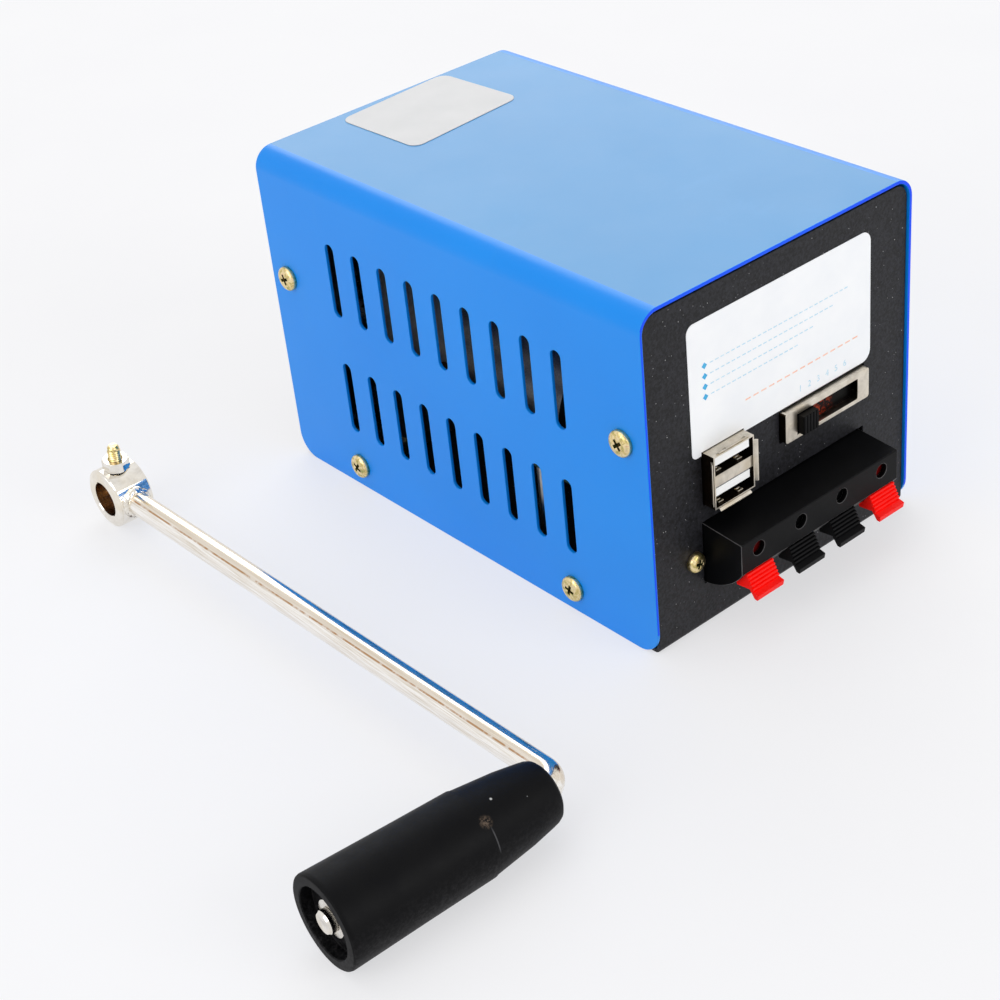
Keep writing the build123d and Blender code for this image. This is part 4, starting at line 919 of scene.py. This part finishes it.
switch = dressed("switch_frame", 0.15)
fit(switch, "switch_frame_soft", "housing", ("satin_nickel", "dark_nickel"), "switch_frame")
touch_up(switch, 1, lambda middle, facing: (
    middle.y > -panel_face - 1.8 and abs(facing.y) < 0.5 and facing.z < 0.8
))
strip = slab("strip", (23.4, 0.3, 5.9), (15.0, -panel_face + 0.3, 46.8), 0.05)
fit(strip, "switch_contact_strip", "housing", "contact_bed")
fit(dressed("switch_knob", 0.12), "switch_knob_soft", "switch_slider", "black_plastic", "switch_knob")

# The block's softened edges take the light grey: painted edge highlights
block_with_edge_highlights = ("black_plastic", "edge_highlight_plastic")
terminal = dressed("terminal_block", 0.14, block_with_edge_highlights)
fit(terminal, "terminal_block_soft", "housing", block_with_edge_highlights, "terminal_block")
for number, finish in enumerate(("red_plastic", "black_plastic", "black_plastic", "red_plastic"), 1):
    red = finish == "red_plastic"
    push = dressed(f"lever_{number}", 0.12)
    fit(
        push, f"lever_{number}_soft", f"lever_{number}", (finish, "dark_red") if red else finish,
        f"lever_{number}",
    )
    if red:
        touch_up(push, 1, lambda middle, facing: facing.y < -0.9 and middle.z > 23.5)


# ---------------------------------------------------------------- driven shaft at the rear
fit(dressed("crank_shaft", 0.12), "crank_shaft_soft", "crank_shaft", "steel", "crank_shaft")
fit(dressed("crank_bushes", 0.15), "crank_bushes_soft", "housing", "bronze", "crank_bushes")


# ---------------------------------------------------------------- crank
# The crank lies on its collar and its grip, and rises towards the grip, which is thicker
arm_reach = arm_length - spindle_length * sin(radians(spindle_bend))
tilt = degrees(asin((grip_radius - collar_radius) / arm_reach))
on_crank = shift(*crank_place) @ turn(-tilt, "X")
on_spindle = on_crank @ shift(0, -arm_length, 0) @ turn(-spindle_bend, "Z") @ turn(-90, "Y")


def lay(piece, name, body, finish, *replaced, on=on_crank, lean=0):
    """Carry a piece made about its own axis to its place on the crank, and fit it."""
    carry(piece, on, turn(lean, "X"))
    fit(piece, name, body, finish, *replaced)


def drawn_nickel_painted_reflection(name):
    """Drawn rod: fine lengthwise streaks, with painted reflections: a warmer side and a tan line along
    it.
    """
    metal = Finish(name, metal=1.0)
    run = on_crank.to_3x3() @ Vector((0, -1, 0))
    outward = Vector((-0.55, -0.45, 0.7))
    across = run.cross(outward).normalized()
    level = across.dot(crank_place)
    grain = metal.noise(0.5, 4.0, 0.6, 0.0, metal.stretched((1, 0.03, 1)))
    body = metal.ramp(grain, (0.3, (222, 212, 196)), (0.6, (250, 247, 242)))
    # Painted reflection: the rod's colour warms towards one side, across it from an outward direction
    side = metal.along(across, level - 3.5, level + 3.5)
    body = metal.mix(metal.ramp(side, (0.38, 0.55), (0.56, 0.0)), body, (214, 196, 168))
    # Painted reflection: a tan line along the rod, broken up, stopping short of the grip
    line = metal.ramp(side, (0.455, 0.0), (0.48, 1.0), (0.52, 1.0), (0.545, 0.0))
    reflection_line_reach = metal.ramp(metal.noise(5, 4.0, 0.7), (0.36, 0.15), (0.52, 0.9))
    reflection_line_reach = metal.both(reflection_line_reach, metal.along((0, 1, 0), -100, -95))
    metal.colour(metal.mix(metal.both(line, reflection_line_reach), body, (176, 128, 74)))
    metal.gloss(metal.noise(2, 4.0, 0.65), 0.1, 0.22)
    return metal.bump(grain, 0.003).material


finishes["drawn_nickel_painted_reflection"] = drawn_nickel_painted_reflection("drawn nickel")

half = collar_length / 2
collar = turned("collar", [
    (5.35, -half + 0.3), (5.65, -half), (7.7, -half), (8.6, -half + 0.4), (8.72, -half + 0.62),
    (8.9, -half + 0.62), (9.1, -half + 0.9), (9.1, half - 0.55), (8.7, half - 0.12),
    (8.55, half - 0.12), (8.3, half), (5.65, half), (5.35, half - 0.3), (5.35, -half + 0.3),
], 96, closed=True)
smooth(collar, 20)
carry(collar, turn(90, "Y"))
lay(collar, "collar_turned", "crank", ("collar_nickel", "bore_painted_shade"), "crank_collar")
hub = on_crank.translation / MM
# The bore's faces take the darker nickel: painted shade inside the bore
touch_up(collar, 1, lambda middle, facing: (
    abs(facing.x) < 0.3 and Vector((middle - hub).yz).length < 5.5
))

bead = turned("bead", [
    (3.45, 7.0), (4.6, 7.0), (4.9, 8.2), (4.8, 8.8), (4.5, 9.3), (4.15, 9.7), (3.8, 9.95),
    (3.45, 10.0), (3.45, 7.0),
], 72, closed=True)
pick(bead)
lumps = bpy.data.textures.new("weld lumps", "CLOUDS")
lumps.noise_scale = 1.1 * MM
ripple = bead.modifiers.new("ripple", "DISPLACE")
ripple.texture = lumps
ripple.strength = 0.9 * MM
ripple.mid_level = 0.55
bpy.ops.object.modifier_apply(modifier=ripple.name)
smooth(bead, 60)
carry(bead, turn(90, "X"))
lay(bead, "weld_bead", "crank", "weld_nickel")

# The rod starts 1 mm inside the collar, and its far end is spun round the elbow and drawn in
arm = turned("arm", [(arm_radius, 0), (arm_radius, arm_length - collar_radius - elbow_radius + 1)], 40)
carry(arm, turn(90, "X"))
carry(arm, shift(0, -collar_radius + 1, 0))
choose(arm, "faces", lambda middle, facing: facing.y < -0.9 and middle.y < -100)
bend_middle = (-elbow_radius * MM, (-arm_length + elbow_radius) * MM, 0)
bpy.ops.mesh.spin(steps=14, angle=radians(90 - spindle_bend), center=bend_middle, axis=(0, 0, 1))
bpy.ops.object.mode_set(mode="OBJECT")
choose(arm, "faces", lambda middle, facing: facing.x < -0.9 and middle.x < -elbow_radius + 0.5)
bend_end = (-elbow_radius * MM, -arm_length * MM, 0)
bpy.ops.transform.resize(value=(1, 0.84, 0.84), center_override=bend_end)
bpy.ops.object.mode_set(mode="OBJECT")
face_outwards(arm)
smooth(arm, 40)
lay(arm, "crank_rod", "crank", "drawn_nickel_painted_reflection", "crank_arm")

grip_end = spindle_length
grip_start = grip_end - grip_length
step = grip_end - 40.3
grip = turned("grip", [
    (3.08, grip_start + 1.4), (4.1, grip_start + 1.4), (4.1, grip_start + 0.2), (4.3, grip_start),
    (5.6, grip_start), (6.9, grip_start + 0.25), (7.75, grip_start + 0.95), (8.2, grip_start + 2.0),
    (8.5, grip_start + 3.4), (9.6, (grip_start + step) / 2 - 1), (10.9, step - 0.05), (11.02, step),
    (11.08, step + 0.2), (11.1, step + 0.9), (11.5, (step + grip_end) / 2), (11.98, grip_end - 1.4),
    (12.0, grip_end - 0.9), (11.85, grip_end - 0.35), (11.5, grip_end - 0.06), (11.2, grip_end),
    (9.25, grip_end), (9.0, grip_end - 0.25), (9.0, grip_end - 3.2), (8.8, grip_end - 3.4),
    (3.08, grip_end - 3.4), (3.08, grip_start + 1.4),
], 96, closed=True)
smooth(grip, 24)
lay(grip, "grip_moulded", "crank_grip", "grip_plastic", "grip", on=on_spindle)

spindle = turned("spindle", [
    (spindle_radius, elbow_radius), (spindle_radius, grip_end - 3.15), (2.4, grip_end - 3.12),
    (2.4, grip_end - 2.08), (spindle_radius, grip_end - 2.05), (spindle_radius, grip_end - 0.5),
    (2.6, grip_end), (0.5, grip_end),
], 40)
smooth(spindle, 30)
lay(spindle, "crank_spindle", "crank", "bright_nickel", on=on_spindle)

clip = turned("clip", [
    (2.42, 0.05), (4.7, 0.0), (4.8, 0.12), (4.8, 0.85), (4.7, 0.95), (2.42, 0.95), (2.42, 0.05),
], 48, closed=True)
smooth(clip, 30)
carry(clip, shift(0, 0, grip_end - 3.1))
lay(clip, "grip_clip", "crank", "bright_nickel", "grip_washer", on=on_spindle)

# Clamp screw: a ring for each crest and root of its thread
stem_radius, pitch, stem_start, stem_end = 1.95, 0.7, 5.55, 16.9
rings = [(0.7 * stem_radius, stem_start)]
height = stem_start + 0.4
while height + pitch < stem_end - 0.7:
    rings += [(stem_radius, height), (0.86 * stem_radius, height + pitch / 2)]
    height += pitch
rings += [
    (0.9 * stem_radius, stem_end - 0.7), (0.6 * stem_radius, stem_end), (0.2 * stem_radius, stem_end),
]
stem = turned("stem", rings, 24)
smooth(stem, 30)
lay(stem, "clamp_screw_threaded", "crank", "yellow_zinc", "clamp_screw", lean=screw_lean)

nut_radius = 7.0 / sqrt(3)
nut = turned("nut", [(nut_radius, 9.15), (nut_radius, 12.3)], 6)
combine(nut, turned("chamfers", [
    (nut_radius - 0.6, 9.0), (nut_radius + 0.02, 9.5), (nut_radius + 0.02, 11.9),
    (nut_radius - 0.62, 12.4),
], 48), "INTERSECT")
cut_away(nut, turned("bore", [(2.3, 8.5), (1.97, 9.6), (1.97, 11.8), (2.4, 12.6)], 32))
smooth(nut, 30)
lay(nut, "clamp_nut_hex", "crank", "collar_nickel", "clamp_nut", lean=screw_lean)


# ---------------------------------------------------------------- floor, light and camera
clear_selection()
bpy.ops.mesh.primitive_circle_add(vertices=96, radius=3.0, fill_type="NGON")
floor = bpy.context.object
floor.name = "pale_floor"
edit(floor)
bpy.ops.mesh.select_mode(type="FACE")
bpy.ops.mesh.select_all(action="SELECT")
bpy.ops.mesh.inset(thickness=0.4, depth=0.0)
bpy.ops.object.mode_set(mode="OBJECT")
paper = Finish("pale floor", specular=0.15)
paper.colour(paper.ramp(paper.noise(90, 3.0), (0.3, (243, 243, 245)), (0.7, (247, 247, 248))))
paper.gloss(paper.noise(40, 2.0), 0.6, 0.75)
paper.bump(paper.noise(3, 2.0), 0.01)
# The floor partly shines by itself where it is seen, so it stays as pale as the backdrop
lit = paper.add("Emission", Color=linear((248, 248, 250)), Strength=1.0)
blend = paper.add("MixShader")
share = paper.add("Math")
share.operation = "MULTIPLY"
share.inputs[1].default_value = 0.62
paper.link(seen_directly(paper.tree), share.inputs[0])
paper.link(share.outputs["Value"], blend.inputs["Fac"])
paper.link(paper.shader.outputs["BSDF"], blend.inputs[1])
paper.link(lit.outputs["Emission"], blend.inputs[2])
paper.link(blend.outputs["Shader"], paper.tree.nodes["Material Output"].inputs["Surface"])
floor.data.materials.append(paper.material)


def lamp(name, place, aim, size, power):
    """Soft box at a place in metres, turned to its aim, with its power in watts."""
    light = bpy.data.lights.new(name, "AREA")
    light.shape = "RECTANGLE"
    light.size, light.size_y = size
    light.energy = power
    holder = bpy.data.objects.new(name, light)
    bpy.context.scene.collection.objects.link(holder)
    holder.location = place
    holder.rotation_euler = (Vector(aim) - Vector(place)).to_track_quat("-Z", "Y").to_euler()


lamp("overhead_softbox", (-0.3, 0.1, 1.4), (0, 0, 0), (1.2, 1.2), 3.0)
lamp("left_softbox", (-1.4, -0.1, 0.8), (0, 0, 0.05), (1.0, 0.9), 7.0)
lamp("front_softbox", (0.35, -1.3, 0.6), (0, 0, 0.05), (0.8, 0.7), 6.0)
lamp("rear_softbox", (1.15, 1.3, 1.15), (0, 0, 0.1), (1.7, 1.5), 16.0)

# The room is near white where it is seen, and grey for the light that it gives
world = bpy.data.worlds.new("studio")
bpy.context.scene.world = world
world.use_nodes = True
tree = world.node_tree
sky = tree.nodes["Background"]
sky.inputs["Strength"].default_value = 1.0
room = tree.nodes.new("ShaderNodeMix")
room.data_type = "RGBA"
given, shown = room.inputs[6], room.inputs[7]
given.default_value = (0.52, 0.52, 0.52, 1)
shown.default_value = (0.93, 0.93, 0.94, 1)
tree.links.new(seen_directly(tree), room.inputs[0])
tree.links.new(room.outputs[2], sky.inputs["Color"])

# Camera fitted to the box's edges and to points on it
view = bpy.data.cameras.new("camera")
view.sensor_width = 36
view.lens = 72.396
view.clip_start = 0.01
camera = bpy.data.objects.new("camera", view)
bpy.context.scene.collection.objects.link(camera)
camera.location = (-0.32865555, -0.38069218, 0.32126053)
camera_turn = (56.765465641885, 5.270559028884138, -41.079758109382745)
camera.rotation_euler = [radians(a) for a in camera_turn]
bpy.context.scene.camera = camera
bpy.context.scene.view_settings.view_transform = "Standard"
